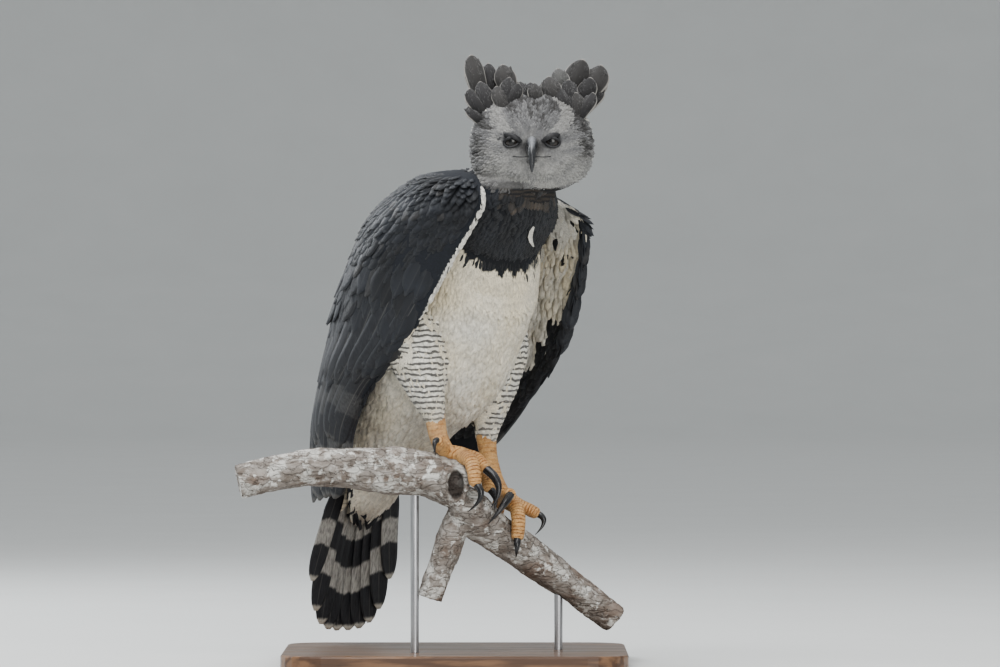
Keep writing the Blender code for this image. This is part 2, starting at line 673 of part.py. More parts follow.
def make_foot(side, parts, cutters):
    plan = FEET[side]
    foot = add(f"foot_{side}", tube(plan["hub"], TOE_UP, sides=10), "leg_skin", parts)
    for name in TOES:
        toe = tube(plan[name][0], TOE_UP, sides=8, steps=SCUTE_STEPS, ripple=scutes)
        combine(foot, "UNION", [cutter(toe, cutters)])
    combine(foot, "DIFFERENCE", [cutter(shank_shape(side, CUT_GROWTH), cutters)])
    for limb in BRANCH:
        combine(foot, "DIFFERENCE", [cutter(branch_shape(limb, CUT_GROWTH), cutters)])
    for name in TOES:
        claw = add(f"claw_{side}_{name}", claw_shape(*plan[name][1]), "claw_horn", parts)
        combine(foot, "DIFFERENCE", [cutter(claw_shape(*plan[name][1], grow=CUT_GROWTH), cutters)])
        for limb in BRANCH:
            combine(claw, "DIFFERENCE", [cutter(branch_shape(limb, CUT_GROWTH), cutters)])


def ball(radius, middle, scale=(1, 1, 1), sides=14):
    shape = bmesh.new()
    bmesh.ops.create_uvsphere(shape, u_segments=sides, v_segments=sides * 3 // 4, radius=radius)
    bmesh.ops.scale(shape, verts=shape.verts[:], vec=scale)
    bmesh.ops.translate(shape, verts=shape.verts[:], vec=middle)
    return shape


def bill_shape(rows, grow=0.0):
    keys = [(*(HEAD_AT + Vector((0, out, up))), wide, deep) for out, up, wide, deep in rows]
    return tube(keys, Vector((1, 0, 0)), sides=12, grow=grow)


def face_features(cutters):
    """The brow ridges and the lids, to be joined to the head."""
    made = []
    for sign in (-1, 1):
        brow = [(*(HEAD_AT + Vector((sign * x, y, z))), radius)
                for (x, y, z), radius in zip(BROW_ENDS, BROW_RADII)]
        made.append(cutter(tube(brow, Vector((0, 0, 1)), sides=8, steps=3), cutters))
        middle = HEAD_AT + Vector((sign * EYE_SPREAD, EYE_DEPTH - LID_THICK * 2, EYE_UP))
        lid = bmesh.new()
        skin_loop(lid, middle, LID_RADIUS, LID_THICK, 1.0, 0.72)
        made.append(cutter(lid, cutters))
    return made


def skin_loop(shape, middle, radius, thick, wide, tall, count=12, sides=5):
    """A closed ring of skin facing -Y, such as an eyelid or the rim of a hollow."""
    rings = []
    for i in range(count):
        turn = math.tau * i / count
        out = Vector((math.cos(turn) * wide, 0, math.sin(turn) * tall))
        ring = []
        for j in range(sides):
            lean = math.tau * j / sides
            offset = out.normalized() * math.cos(lean) + Vector((0, math.sin(lean), 0))
            ring.append(shape.verts.new(middle + out * radius + offset * thick))
        rings.append(ring)
    for i in range(count):
        one, two = rings[i], rings[(i + 1) % count]
        for j in range(sides):
            k = (j + 1) % sides
            shape.faces.new((one[j], one[k], two[k]))
            shape.faces.new((one[j], two[k], two[j]))


def make_head_pieces(head, parts, cutters):
    for feature in face_features(cutters):
        combine(head, "UNION", [feature])
    for side, sign in (("right", -1), ("left", 1)):
        middle = HEAD_AT + Vector((sign * EYE_SPREAD, EYE_DEPTH, EYE_UP))
        add(f"eye_{side}", ball(EYE_RADIUS, middle), "eye", parts)
        combine(head, "DIFFERENCE", [cutter(ball(EYE_RADIUS + CUT_GROWTH, middle), cutters)])
    upper = add("bill_upper", bill_shape(BILL_UPPER), "bill_horn", parts)
    for sign in (-1, 1):
        across, out, up = NOSTRIL_AT
        pit = ball(1.0, HEAD_AT + Vector((sign * across, out, up)), NOSTRIL_SIZE, 8)
        combine(upper, "DIFFERENCE", [cutter(pit, cutters)])
    lower = add("bill_lower", bill_shape(BILL_LOWER), "bill_horn", parts)
    combine(lower, "DIFFERENCE", [cutter(bill_shape(BILL_UPPER, CUT_GROWTH), cutters)])
    for rows in (BILL_UPPER, BILL_LOWER):
        combine(head, "DIFFERENCE", [cutter(bill_shape(rows, CUT_GROWTH), cutters)])


def ruff_feather(angle, grow=0.0):
    """A feather that stands off the side of the head, behind the face."""
    turn = math.radians(angle)
    reach = head_outline(turn)
    outwards = Vector((math.cos(turn), 0, math.sin(turn)))
    round_head = Vector((-math.sin(turn), 0, math.cos(turn)))
    points = []
    for share in (0, 0.45, 1):
        inward = reach * (0.93 - 0.20 * share)
        points.append(HEAD_AT + outwards * (inward - ROOT_SINK + RUFF_STAND * share)
                      + Vector((0, RUFF_DEPTH + RUFF_LENGTH * share, 0)))
    widths = [RUFF_WIDTH * share + 2 * grow for share in (0.8, 1.0, 0.5)]
    return vane(points, widths, [round_head] * 3, CREST_THICK + 2 * grow)


def make_crest(head, cutters):
    locks = [cutter(ruff_feather(angle), cutters) for angle in RUFF_ANGLES]
    for root, tip, width in CREST:
        start, end = HEAD_AT + Vector(root), HEAD_AT + Vector(tip)
        start += (HEAD_AT - start).normalized() * CREST_SINK
        points = [start.lerp(end, t) for t in CREST_STATIONS]
        widths = [width * w for w in CREST_WIDTHS]
        locks.append(cutter(vane(points, widths, [CREST_BROAD] * len(points), CREST_THICK), cutters))
    combine(head, "UNION", locks, "MANIFOLD")


def bark_ripple(seed):
    def ripple(place, turn):
        return (0.035 * math.sin(3 * turn + 2.1 * place + seed)
                + 0.025 * math.sin(5 * turn - 3.7 * place + 2 * seed)
                + 0.020 * math.sin(4.3 * place + seed))
    return ripple


def branch_shape(side, grow=0.0):
    ripple = bark_ripple(list(BRANCH).index(side))
    return tube(BRANCH[side], Vector((0, 0, 1)), sides=14, steps=3, ripple=ripple, grow=grow)


def make_branch(parts, cutters):
    done = []
    for side in BRANCH:
        limb = add(f"branch_{side}", branch_shape(side), "bark", parts)
        for other in done:
            combine(limb, "DIFFERENCE", [cutter(branch_shape(other, CUT_GROWTH), cutters)])
        done.append(side)
    rim = bmesh.new()
    skin_loop(rim, KNOT_AT, 1.0, KNOT_HALF_WIDTH * 0.3, KNOT_HALF_WIDTH * KNOT_RIM,
              KNOT_HALF_HEIGHT * KNOT_RIM)
    combine(bpy.data.objects["branch_left"], "UNION", [cutter(rim, cutters)])
    hollow = ball(1.0, KNOT_AT, (KNOT_HALF_WIDTH, KNOT_DEPTH, KNOT_HALF_HEIGHT))
    combine(bpy.data.objects["branch_left"], "DIFFERENCE", [cutter(hollow, cutters)])


def make_stand(parts, cutters):
    shape = bmesh.new()
    bmesh.ops.create_cube(shape, size=1.0)
    bmesh.ops.scale(shape, verts=shape.verts[:], vec=(BASE_LENGTH, BASE_DEPTH, BASE_HEIGHT))
    bmesh.ops.translate(shape, verts=shape.verts[:], vec=BASE_MIDDLE + Vector((0, 0, BASE_HEIGHT / 2)))
    upright = [edge for edge in shape.edges
               if abs(edge.verts[0].co.z - edge.verts[1].co.z) > BASE_HEIGHT / 2]
    bmesh.ops.bevel(shape, geom=upright, offset=BASE_CORNER, segments=6, profile=0.5,
                    affect="EDGES", material=-1)
    rim = [edge for edge in shape.edges if all(v.co.z > BASE_HEIGHT - 1e-4 for v in edge.verts)]
    bmesh.ops.bevel(shape, geom=rim, offset=BASE_EDGE, segments=2, profile=0.5, affect="EDGES", material=-1)
    add("stand_base", shape, "stand_wood", parts)
    for side, (x, y, top) in RODS.items():
        rod = bmesh.new()
        low, high = BASE_HEIGHT + GAP, top
        bmesh.ops.create_cone(rod, cap_ends=True, segments=20, radius1=ROD_RADIUS, radius2=ROD_RADIUS,
                              depth=high - low)
        bmesh.ops.translate(rod, verts=rod.verts[:], vec=(x, y, (high + low) / 2))
        post = add(f"stand_rod_{side}", rod, "stand_steel", parts)
        combine(post, "DIFFERENCE", [cutter(branch_shape(side, CUT_GROWTH), cutters)])


def main():
    clear_scene()
    parts, cutters = collection("harpy_eagle"), collection("cutters")
    cutters.hide_render = True
    make_branch(parts, cutters)
    make_stand(parts, cutters)
    head = make_body(parts, cutters)
    make_crest(head, cutters)
    make_head_pieces(head, parts, cutters)
    for side in ("right", "left"):
        make_leg(side, parts, cutters)
        make_foot(side, parts, cutters)


main()
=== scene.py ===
# Harpy eagle on its cut branch: skin, feathers, feet, bark and stand, for the photo's view.
import math
import random

import bmesh
import bpy
from mathutils import Matrix, Vector, noise
from mathutils.bvhtree import BVHTree
from mathutils.kdtree import KDTree


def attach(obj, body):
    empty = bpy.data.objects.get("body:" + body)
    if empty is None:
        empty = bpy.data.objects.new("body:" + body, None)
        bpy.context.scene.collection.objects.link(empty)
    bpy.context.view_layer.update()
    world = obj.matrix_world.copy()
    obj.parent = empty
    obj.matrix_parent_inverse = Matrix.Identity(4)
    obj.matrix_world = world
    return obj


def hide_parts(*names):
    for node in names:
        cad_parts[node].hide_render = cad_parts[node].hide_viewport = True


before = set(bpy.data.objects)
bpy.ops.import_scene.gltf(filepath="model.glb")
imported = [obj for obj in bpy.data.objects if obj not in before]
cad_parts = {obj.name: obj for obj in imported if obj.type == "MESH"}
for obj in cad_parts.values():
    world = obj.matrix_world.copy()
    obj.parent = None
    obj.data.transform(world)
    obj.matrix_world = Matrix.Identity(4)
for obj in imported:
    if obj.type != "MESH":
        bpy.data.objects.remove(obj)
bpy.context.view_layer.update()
rng = random.Random(11)

mostTriangles = 190000       # a coat with more is made in several pieces
patchSize = 0.003            # side of one feather's own patch on the unwrap
smallStep = 0.03             # how far to either side a form is measured for its slope

# Camera and light, set to the photo: level, from far off with a long lens
view = {"place": (0.065, -10.0, 0.4804), "lens": 248.0}
lamps = {      # place, aim, size, watts, colour
    "sky": ((-1.0, -1.6, 4.2), (0.05, 0.0, 0.4), 4.0, 190, (1.0, 1.0, 1.0)),
    "front": ((1.6, -4.5, 1.6), (0.05, 0.0, 0.45), 3.0, 105, (1.0, 0.985, 0.96)),
    "rim": ((-2.6, 2.4, 2.2), (0.05, 0.0, 0.5), 2.0, 80, (0.94, 0.97, 1.0)),
}
world = {"colour": (0.86, 0.88, 0.9), "strength": 0.75}

# The pose, as the solids have it: the body turned on the branch, the face to -Y
pose = {"turn": math.radians(38), "at": Vector((0.022, 0.0, 0.0)),
        "head": Vector((0.1105, -0.085, 0.7465))}

body = {        # ahead, up, half width, half depth
    "torso": (
        (0.076, 0.69, 0.028, 0.026), (0.067, 0.679, 0.066, 0.058), (0.042, 0.656, 0.094, 0.087),
        (0.011, 0.629, 0.11, 0.117), (-0.02, 0.594, 0.116, 0.141), (-0.06, 0.531, 0.116, 0.149),
        (-0.094, 0.465, 0.11, 0.141), (-0.142, 0.403, 0.09, 0.112), (-0.185, 0.342, 0.072, 0.078),
        (-0.214, 0.287, 0.058, 0.05), (-0.236, 0.245, 0.046, 0.03), (-0.252, 0.215, 0.03, 0.012),
    ),
    "neck": (
        (0.05, 0.636, 0.096, 0.07), (0.074, 0.664, 0.1, 0.064), (0.094, 0.69, 0.082, 0.062),
        (0.108, 0.718, 0.062, 0.056),
    ),
    "tail": (
        (-0.205, 0.35, 0.03, 0.018), (-0.247, 0.29, 0.05, 0.014), (-0.27, 0.235, 0.06, 0.01),
        (-0.28, 0.2, 0.056, 0.006),
    ),
}
neckAt = (0.084, -0.078, 0.085)      # x, y and reach of the wavy collar
thighs = {      # side, ahead, up, half width, half depth
    "right": (
        (-0.075, -0.055, 0.53, 0.044, 0.054), (-0.08, -0.03, 0.485, 0.046, 0.056),
        (-0.08, -0.018, 0.445, 0.041, 0.05), (-0.076, -0.008, 0.405, 0.031, 0.037),
        (-0.07, -0.001, 0.372, 0.022, 0.025), (-0.066, 0.002, 0.35, 0.0165, 0.018),
    ),
    "left": (
        (0.075, -0.06, 0.52, 0.044, 0.054), (0.08, -0.042, 0.47, 0.045, 0.055),
        (0.076, -0.038, 0.4275, 0.04, 0.048), (0.069, -0.04, 0.384, 0.033, 0.036),
        (0.062, -0.04, 0.345, 0.023, 0.025), (0.059, -0.038, 0.318, 0.0165, 0.018),
    ),
}
wings = {       # leading edge, trailing edge, half thickness, bulge
    "right": (
        ((-0.088, 0.125, 0.708), (-0.072, 0.072, 0.716), 0.01, 0.004),
        ((-0.098, 0.15, 0.694), (-0.062, -0.01, 0.712), 0.018, 0.022),
        ((-0.1, 0.163, 0.67), (-0.05, -0.085, 0.69), 0.02, 0.044),
        ((-0.103, 0.145, 0.636), (-0.045, -0.145, 0.652), 0.02, 0.06),
        ((-0.108, 0.105, 0.59), (-0.034, -0.178, 0.6), 0.018, 0.072),
        ((-0.112, 0.066, 0.54), (-0.046, -0.212, 0.54), 0.016, 0.064),
        ((-0.117, 0.03, 0.492), (-0.058, -0.226, 0.485), 0.013, 0.054),
        ((-0.119, -0.015, 0.447), (-0.07, -0.236, 0.435), 0.011, 0.044),
        ((-0.118, -0.08, 0.403), (-0.08, -0.246, 0.385), 0.009, 0.03),
        ((-0.114, -0.13, 0.35), (-0.088, -0.256, 0.335), 0.007, 0.018),
        ((-0.106, -0.155, 0.3), (-0.09, -0.26, 0.285), 0.005, 0.01),
        ((-0.1, -0.18, 0.25), (-0.092, -0.256, 0.24), 0.003, 0.005),
    ),
    "left": (
        ((0.118, 0.075, 0.668), (0.085, 0.035, 0.69), 0.01, 0.004),
        ((0.13, 0.096, 0.652), (0.066, -0.03, 0.69), 0.016, 0.018),
        ((0.139, 0.096, 0.626), (0.052, -0.085, 0.672), 0.018, 0.032),
        ((0.147, 0.081, 0.584), (0.044, -0.14, 0.628), 0.018, 0.044),
        ((0.151, 0.06, 0.538), (0.042, -0.18, 0.575), 0.016, 0.048),
        ((0.153, 0.036, 0.49), (0.05, -0.208, 0.52), 0.014, 0.046),
        ((0.154, 0.01, 0.447), (0.06, -0.222, 0.468), 0.012, 0.04),
        ((0.152, -0.03, 0.411), (0.072, -0.235, 0.418), 0.01, 0.032),
        ((0.15, -0.072, 0.37), (0.082, -0.246, 0.37), 0.008, 0.022),
        ((0.147, -0.125, 0.33), (0.092, -0.256, 0.325), 0.006, 0.013),
        ((0.143, -0.185, 0.293), (0.104, -0.262, 0.285), 0.004, 0.007),
        ((0.138, -0.24, 0.262), (0.116, -0.268, 0.255), 0.003, 0.003),
    ),
}
shanks = {      # side, ahead, up, half width, half depth
    "right": (
        (-0.066, 0.001, 0.362, 0.014, 0.015),
        (-0.064, 0.006, 0.335, 0.013, 0.014),
        (-0.06, 0.013, 0.316, 0.0125, 0.0135),
        (-0.055, 0.021, 0.303, 0.0135, 0.015),
    ),
    "left": (
        (0.059, -0.039, 0.332, 0.014, 0.015),
        (0.057, -0.03, 0.3, 0.012, 0.013),
        (0.051, -0.008, 0.268, 0.0115, 0.0125),
        (0.0435, 0.017, 0.246, 0.013, 0.014),
    ),
}

face = {        # about the head's middle: depth and scale of each ring of the outline
    "halfWidth": 0.0915, "top": 0.08, "bottom": 0.07, "power": 2.35,
    "rings": (
        (-0.062, 0.22), (-0.058, 0.55), (-0.05, 0.82), (-0.038, 0.97), (-0.026, 1.0), (-0.014, 0.96),
        (0.006, 0.92), (0.03, 0.84), (0.052, 0.68), (0.068, 0.46), (0.076, 0.2),
    ),
}
crest = (       # root and tip about the head's middle, width, tone
    ((-0.0728, 0.012, 0.0783), (-0.0873, 0.03, 0.1363), 0.0261, "dusk"),
    ((-0.0626, 0.024, 0.081), (-0.0626, 0.044, 0.1247), 0.0217, "night"),
    ((-0.0322, 0.01, 0.0812), (-0.0423, 0.02, 0.1218), 0.029, "dusk"),
    ((-0.0664, 0.0, 0.0531), (-0.0895, 0.006, 0.0855), 0.0232, "night"),
    ((-0.0681, -0.004, 0.0412), (-0.0909, 0.0, 0.0594), 0.0174, "night"),
    ((-0.035, -0.01, 0.0628), (-0.0191, -0.006, 0.0928), 0.0203, "night"),
    ((-0.0388, -0.014, 0.0553), (-0.051, -0.008, 0.0885), 0.0217, "dusk"),
    ((-0.0589, 0.002, 0.0582), (-0.0742, 0.01, 0.0957), 0.0217, "night"),
    ((-0.034, -0.002, 0.068), (-0.0322, 0.004, 0.1015), 0.0232, "night"),
    ((0.0494, 0.014, 0.0728), (0.0751, 0.032, 0.1298), 0.0333, "dusk"),
    ((0.0703, 0.02, 0.0762), (0.1012, 0.04, 0.1218), 0.0362, "dusk"),
    ((0.0461, 0.004, 0.0812), (0.0374, 0.014, 0.116), 0.0246, "mist"),
    ((0.0333, -0.004, 0.0725), (0.0244, 0.004, 0.1029), 0.0275, "dusk"),
    ((0.0079, -0.004, 0.0695), (0.0041, 0.0, 0.0928), 0.0203, "dusk"),
    ((0.0547, -0.012, 0.057), (0.0389, -0.006, 0.087), 0.0246, "night"),
    ((0.064, -0.012, 0.044), (0.0635, -0.006, 0.0797), 0.0246, "dusk"),
    ((0.064, -0.002, 0.047), (0.0882, 0.004, 0.0797), 0.0203, "night"),
    ((0.0684, 0.006, 0.0641), (0.0853, 0.014, 0.1029), 0.0261, "night"),
    ((0.0569, 0.0, 0.0636), (0.0534, 0.008, 0.0986), 0.0246, "night"),
    ((0.026, 0.01, 0.0696), (0.0186, 0.018, 0.0957), 0.0203, "night"),
    ((-0.0162, 0.01, 0.0694), (-0.0162, 0.018, 0.0957), 0.0203, "night"),
    ((0.0755, 0.02, 0.0622), (0.0998, 0.034, 0.0899), 0.0217, "night"),
    ((-0.0668, 0.034, 0.0696), (-0.08, 0.06, 0.116), 0.0232, "night"),
    ((-0.0506, 0.04, 0.0694), (-0.0539, 0.066, 0.1131), 0.0261, "night"),
    ((-0.0278, 0.036, 0.0665), (-0.0278, 0.058, 0.1015), 0.0261, "night"),
    ((-0.0017, 0.03, 0.0665), (-0.0017, 0.052, 0.0957), 0.0261, "night"),
    ((0.0302, 0.036, 0.0694), (0.0302, 0.06, 0.1044), 0.0261, "night"),
    ((0.0553, 0.04, 0.0695), (0.0621, 0.066, 0.1131), 0.0261, "night"),
    ((0.0747, 0.036, 0.0639), (0.0882, 0.062, 0.1044), 0.0261, "night"),
)

branch = {      # x, y, z, radius
    "left": (
        (-0.312, -0.1, 0.268, 0.0247),
        (-0.239, -0.09, 0.282, 0.0268),
        (-0.181, -0.08, 0.289, 0.0283),
        (-0.104, -0.07, 0.2825, 0.034),
        (-0.046, -0.06, 0.278, 0.034),
        (0.0, -0.055, 0.264, 0.036),
        (0.018, -0.053, 0.258, 0.03),
    ),
    "right": (
        (0.002, -0.05, 0.24, 0.024),
        (0.023, -0.045, 0.2245, 0.032),
        (0.052, -0.02, 0.197, 0.0295),
        (0.116, 0.015, 0.1505, 0.027),
        (0.181, 0.04, 0.103, 0.0235),
        (0.234, 0.055, 0.063, 0.0215),
    ),
    "stub": (
        (0.01, -0.045, 0.222, 0.02),
        (-0.003, -0.047, 0.195, 0.021),
        (-0.02, -0.049, 0.145, 0.0205),
        (-0.036, -0.05, 0.097, 0.019),
    ),
}
knot = {"at": Vector((0.0015, -0.09, 0.2625)), "half": (0.013, 0.0235), "rim": 0.0035, "deep": 0.012}

# Toes: the middle line with its radius, then the claw's base, bend, tip and radius
toeUp = Vector((0.3, -0.5, 0.8))
feet = {
    "right": {
        "hub": (
            (-0.018, -0.052, 0.308, 0.012),
            (0.006, -0.058, 0.304, 0.013),
            (0.026, -0.062, 0.298, 0.011),
        ),
        "inner": (
            ((0.01, -0.06, 0.304, 0.0105), (0.03, -0.064, 0.299, 0.01), (0.044, -0.075, 0.286, 0.009)),
            ((0.044, -0.075, 0.286), (0.063, -0.089, 0.26), (0.052, -0.095, 0.23), 0.0068),
        ),
        "middle": (
            ((0.01, -0.066, 0.303, 0.0105), (0.022, -0.086, 0.297, 0.01),
             (0.0275, -0.099, 0.281, 0.0098), (0.029, -0.102, 0.264, 0.0085)),
            ((0.0295, -0.1025, 0.265), (0.037, -0.11, 0.246), (0.019, -0.107, 0.2245), 0.0055),
        ),
        "outer": (
            ((-0.014, -0.056, 0.31, 0.01), (-0.021, -0.078, 0.319, 0.0085), (-0.024, -0.092, 0.326, 0.0075)),
            ((-0.024, -0.09, 0.327), (-0.029, -0.103, 0.322), (-0.0275, -0.101, 0.305), 0.0048),
        ),
        "hind": (
            ((0.012, -0.05, 0.303, 0.0105), (0.032, -0.036, 0.292, 0.01),
             (0.046, -0.04, 0.272, 0.0095), (0.048, -0.05, 0.256, 0.0085)),
            ((0.048, -0.048, 0.258), (0.058, -0.056, 0.244), (0.057, -0.064, 0.225), 0.006),
        ),
    },
    "left": {
        "hub": (
            (0.066, 0.01, 0.25, 0.012),
            (0.078, -0.002, 0.237, 0.013),
            (0.094, -0.004, 0.228, 0.011),
        ),
        "inner": (
            ((0.074, -0.006, 0.24, 0.01), (0.075, -0.03, 0.245, 0.0095), (0.08, -0.047, 0.248, 0.0085)),
            ((0.08, -0.046, 0.248), (0.068, -0.068, 0.23), (0.048, -0.074, 0.206), 0.0065),
        ),
        "middle": (
            ((0.082, -0.006, 0.234, 0.0105), (0.089, -0.022, 0.226, 0.01),
             (0.0915, -0.036, 0.208, 0.0098), (0.09, -0.04, 0.184, 0.0085)),
            ((0.09, -0.04, 0.186), (0.0895, -0.05, 0.172), (0.088, -0.046, 0.157), 0.0055),
        ),
        "outer": (
            ((0.086, -0.003, 0.232, 0.01), (0.104, -0.006, 0.226, 0.009), (0.118, -0.01, 0.219, 0.008)),
            ((0.117, -0.009, 0.22), (0.1285, -0.015, 0.208), (0.116, -0.021, 0.189), 0.005),
        ),
        "hind": (
            ((0.074, 0.002, 0.238, 0.0105), (0.064, 0.018, 0.232, 0.01), (0.06, 0.024, 0.216, 0.009)),
            ((0.06, 0.024, 0.219), (0.06, 0.036, 0.202), (0.068, 0.034, 0.18), 0.0062),
        ),
    },
}
faceParts = (   # brow, cheek and chin on each side: from the head's middle, radius, scale
    ((0.03, -0.047, 0.021), 0.012, (1.5, 0.9, 0.62)),
    ((0.04, -0.04, -0.018), 0.024, (1.0, 0.8, 1.0)),
    ((0.018, -0.048, -0.034), 0.016, (1.1, 0.8, 0.8)),
)
eye = {"spread": 0.0287, "depth": -0.0525, "up": 0.0087, "radius": 0.0125}
bill = {        # out from the face, up, half width, half depth
    "upper": (
        (-0.04, 0.002, 0.01, 0.015), (-0.06, 0.0015, 0.0095, 0.0145),
        (-0.076, -0.001, 0.0085, 0.013), (-0.089, -0.007, 0.0068, 0.01),
        (-0.096, -0.017, 0.005, 0.007), (-0.099, -0.027, 0.0034, 0.0045), (-0.099, -0.036, 0.0014, 0.0018),
    ),
    "lower": (
        (-0.04, -0.0185, 0.0085, 0.005), (-0.064, -0.019, 0.0075, 0.0045),
        (-0.08, -0.019, 0.0055, 0.0035), (-0.09, -0.0185, 0.0025, 0.0018),
    ),
}

# How far the skin lies inside each solid, so that the feathers reach its outside
skinPlan = {"voxel": 0.0032, "smooth": 6, "torso": 0.006, "neck": 0.006, "head": 0.005, "thigh": 0.004,
            "tail": 0.002}
# Each wing's coats: rows from the shoulder down, and turns round the wing, 0 at its front
# edge and pi at its back edge, with the lining below 0; then where the lining turns dark
wingPlan = {
    "right": {
        "coverts": {"rows": (0.3, 5.2), "turns": (0.42, math.pi - 0.06)},
        "edge": {"rows": (1.2, 5.2), "turns": (-0.05, 0.12), "size": 0.32, "white": 0.94},
        "inner": {"rows": (1.6, 8.5), "turns": (-math.pi + 0.6, -0.42)},
        "darkBelow": 0.5, "darkSlope": 0.0, "liningEnd": 6,
    },
    "left": {
        "coverts": {"rows": (0.3, 5.2), "turns": (-0.16, math.pi - 0.06)},
        "edge": {"rows": (1.2, 7.5), "turns": (-0.4, -0.16), "size": 0.46, "white": 0.12},
        "inner": {"rows": (0.5, 8.5), "turns": (-math.pi + 0.6, -0.3)},
        "darkBelow": 0.416, "darkSlope": 1.7, "liningEnd": -16,
    },
}
footPlan = {"voxel": 0.0009, "smooth": 2, "sides": 24, "steps": 28, "pads": 0.1, "toeEnd": 0.92,
            "toePitch": 0.0046, "shankPitch": 0.0075, "rise": 0.0009, "uneven": 0.25,
            "clawTaper": (1.0, 0.96, 0.82, 0.58, 0.34, 0.08)}
barkPlan = {"sides": 48, "steps": 14, "voxel": 0.0016, "smooth": 2, "lump": 0.0016, "ridge": 0.0008}

# Feather shapes: faces across and along, half width at each share of the length,
# how far the middle is cupped and the tip curls down, and the thickness
shapes = {
    "tuft": {"across": 2, "along": 3, "cup": 0.07, "curl": 0.05, "thick": 0.03,
             "widths": (0.34, 0.5, 0.46, 0.2)},
    "scale": {"across": 2, "along": 4, "cup": 0.04, "curl": 0.02, "thick": 0.013,
              "widths": (0.3, 0.48, 0.52, 0.46, 0.24)},
    "broad": {"across": 4, "along": 7, "cup": 0.04, "curl": 0.03, "thick": 0.01,
              "widths": (0.26, 0.42, 0.5, 0.54, 0.54, 0.48, 0.36, 0.16)},
}

# The coats: spacing down and across, feather length and width, how far each is
# lifted off the skin in degrees, its shape, the rows of the form it covers, and
# how far the skin may lie from the form
coats = {
    "torso": {"down": 0.007, "across": 0.0072, "length": 0.027, "width": 0.012, "lift": 8,
              "shape": "tuft", "rows": (1.2, 11.0), "away": 0.03},
    "neck": {"down": 0.0055, "across": 0.006, "length": 0.018, "width": 0.0115, "lift": 9,
             "shape": "tuft", "rows": (0.2, 3.0), "away": 0.02},
    "head": {"down": 0.004, "across": 0.0042, "length": 0.0125, "width": 0.0064, "lift": 9,
             "shape": "tuft", "rows": (0.35, 9.7), "away": 0.01},
    "crest": {"perMetre": 3600, "length": 0.0075, "width": 0.0034, "lift": 3, "shape": "tuft"},
    "rump": {"down": 0.014, "across": 0.015, "length": 0.058, "width": 0.026, "lift": 4.5,
             "shape": "broad", "rows": (0.0, 2.3), "away": 0.008},
    "thigh": {"down": 0.0062, "across": 0.0068, "length": 0.019, "width": 0.0105, "lift": 7,
              "shape": "tuft", "rows": (0.0, 5.0), "away": 0.01},
    "coverts": {"down": 0.0115, "across": 0.0125, "length": 0.037, "width": 0.019, "lift": 2.3,
                "shape": "scale", "away": 0.012},
    "middle": {"down": 0.02, "across": 0.02, "length": 0.06, "width": 0.029, "lift": 3.5,
               "shape": "broad", "rows": (4.2, 6.6), "turns": (0.48, math.pi - 0.25), "away": 0.012},
    "edge": {"down": 0.0115, "across": 0.0125, "length": 0.037, "width": 0.019, "lift": 2.3,
             "shape": "scale", "away": 0.007},
    "inner": {"down": 0.009, "across": 0.01, "length": 0.03, "width": 0.016, "lift": 5,
              "shape": "scale", "away": 0.007},
}
wingParts = {"": "coverts", "_middle": "middle", "_edge": "edge", "_inner": "inner"}

tones = {
    "white": (0.78, 0.76, 0.7), "cream": (0.72, 0.64, 0.48), "slate": (0.016, 0.019, 0.026),
    "coal": (0.008, 0.009, 0.012), "grey": (0.15, 0.15, 0.153), "pale": (0.33, 0.325, 0.31),
    "brown": (0.1, 0.08, 0.062), "dusk": (0.038, 0.036, 0.035), "night": (0.024, 0.023, 0.024),
    "mist": (0.1, 0.1, 0.097),
}
markings = {"band": 0.566, "collar": -0.079, "barsPerMetre": 125, "bands": ((0.061, 0.1), (0.142, 0.17))}
lidPlan = {"sides": 48, "wide": 0.0098, "top": 0.0042, "bottom": 0.0066, "slant": 0.2, "thick": 0.0012}
# The fold at each corner of the bill and the ridge over each eye: from the head's middle, then radii
gape = (
    (0.006, -0.069, -0.013, 0.0007), (0.016, -0.0668, -0.0138, 0.0007), (0.027, -0.0615, -0.0128, 0.0007),
)
brow = (
    (0.015, -0.0625, 0.0085, 0.0016), (0.025, -0.065, 0.015, 0.0026),
    (0.035, -0.061, 0.0178, 0.0024), (0.043, -0.053, 0.017, 0.001),
)
browStretch = 1.5
fleck = {"x": 0.1135, "bow": 0.005, "top": 0.634, "bottom": 0.606, "width": 0.0065}
quills = {
    "tiers": (
        {"start": 5.2, "count": 10, "reach": 2.4, "width": 0.034, "stand": 0.005, "bars": 0.0},
        {"start": 6.2, "count": 10, "reach": 3.2, "width": 0.034, "stand": 0.0055, "bars": 0.1},
        {"start": 7.2, "count": 9, "reach": 3.8, "width": 0.03, "stand": 0.0055, "bars": 0.16},
    ),
    "turns": (0.45, 2.46), "drift": 0.14, "roll": 0.14, "stations": 18,
    # side at the root and at the tip, how low the tip comes, width
    "tail": ((0.044, 0.071, 0.118, 0.03), (0.034, 0.058, 0.078, 0.034), (0.026, 0.044, 0.056, 0.036),
             (0.017, 0.028, 0.044, 0.037), (0.008, 0.01, 0.04, 0.037)),
    # how far apart the tail's feathers lie, and its line: ahead and up
    "step": 0.0013, "tailLine": ((-0.262, 0.262), (-0.294, 0.15), (-0.312, 0.038)),
}


# Shader sockets that add and multiply like numbers
class Socket:
    def __init__(self, graph, out):
        self.graph = graph
        self.out = out

    def __add__(self, other):
        return self.graph.math("ADD", self, other)

    def __mul__(self, other):
        return self.graph.math("MULTIPLY", self, other)

    __radd__ = __add__
    __rmul__ = __mul__


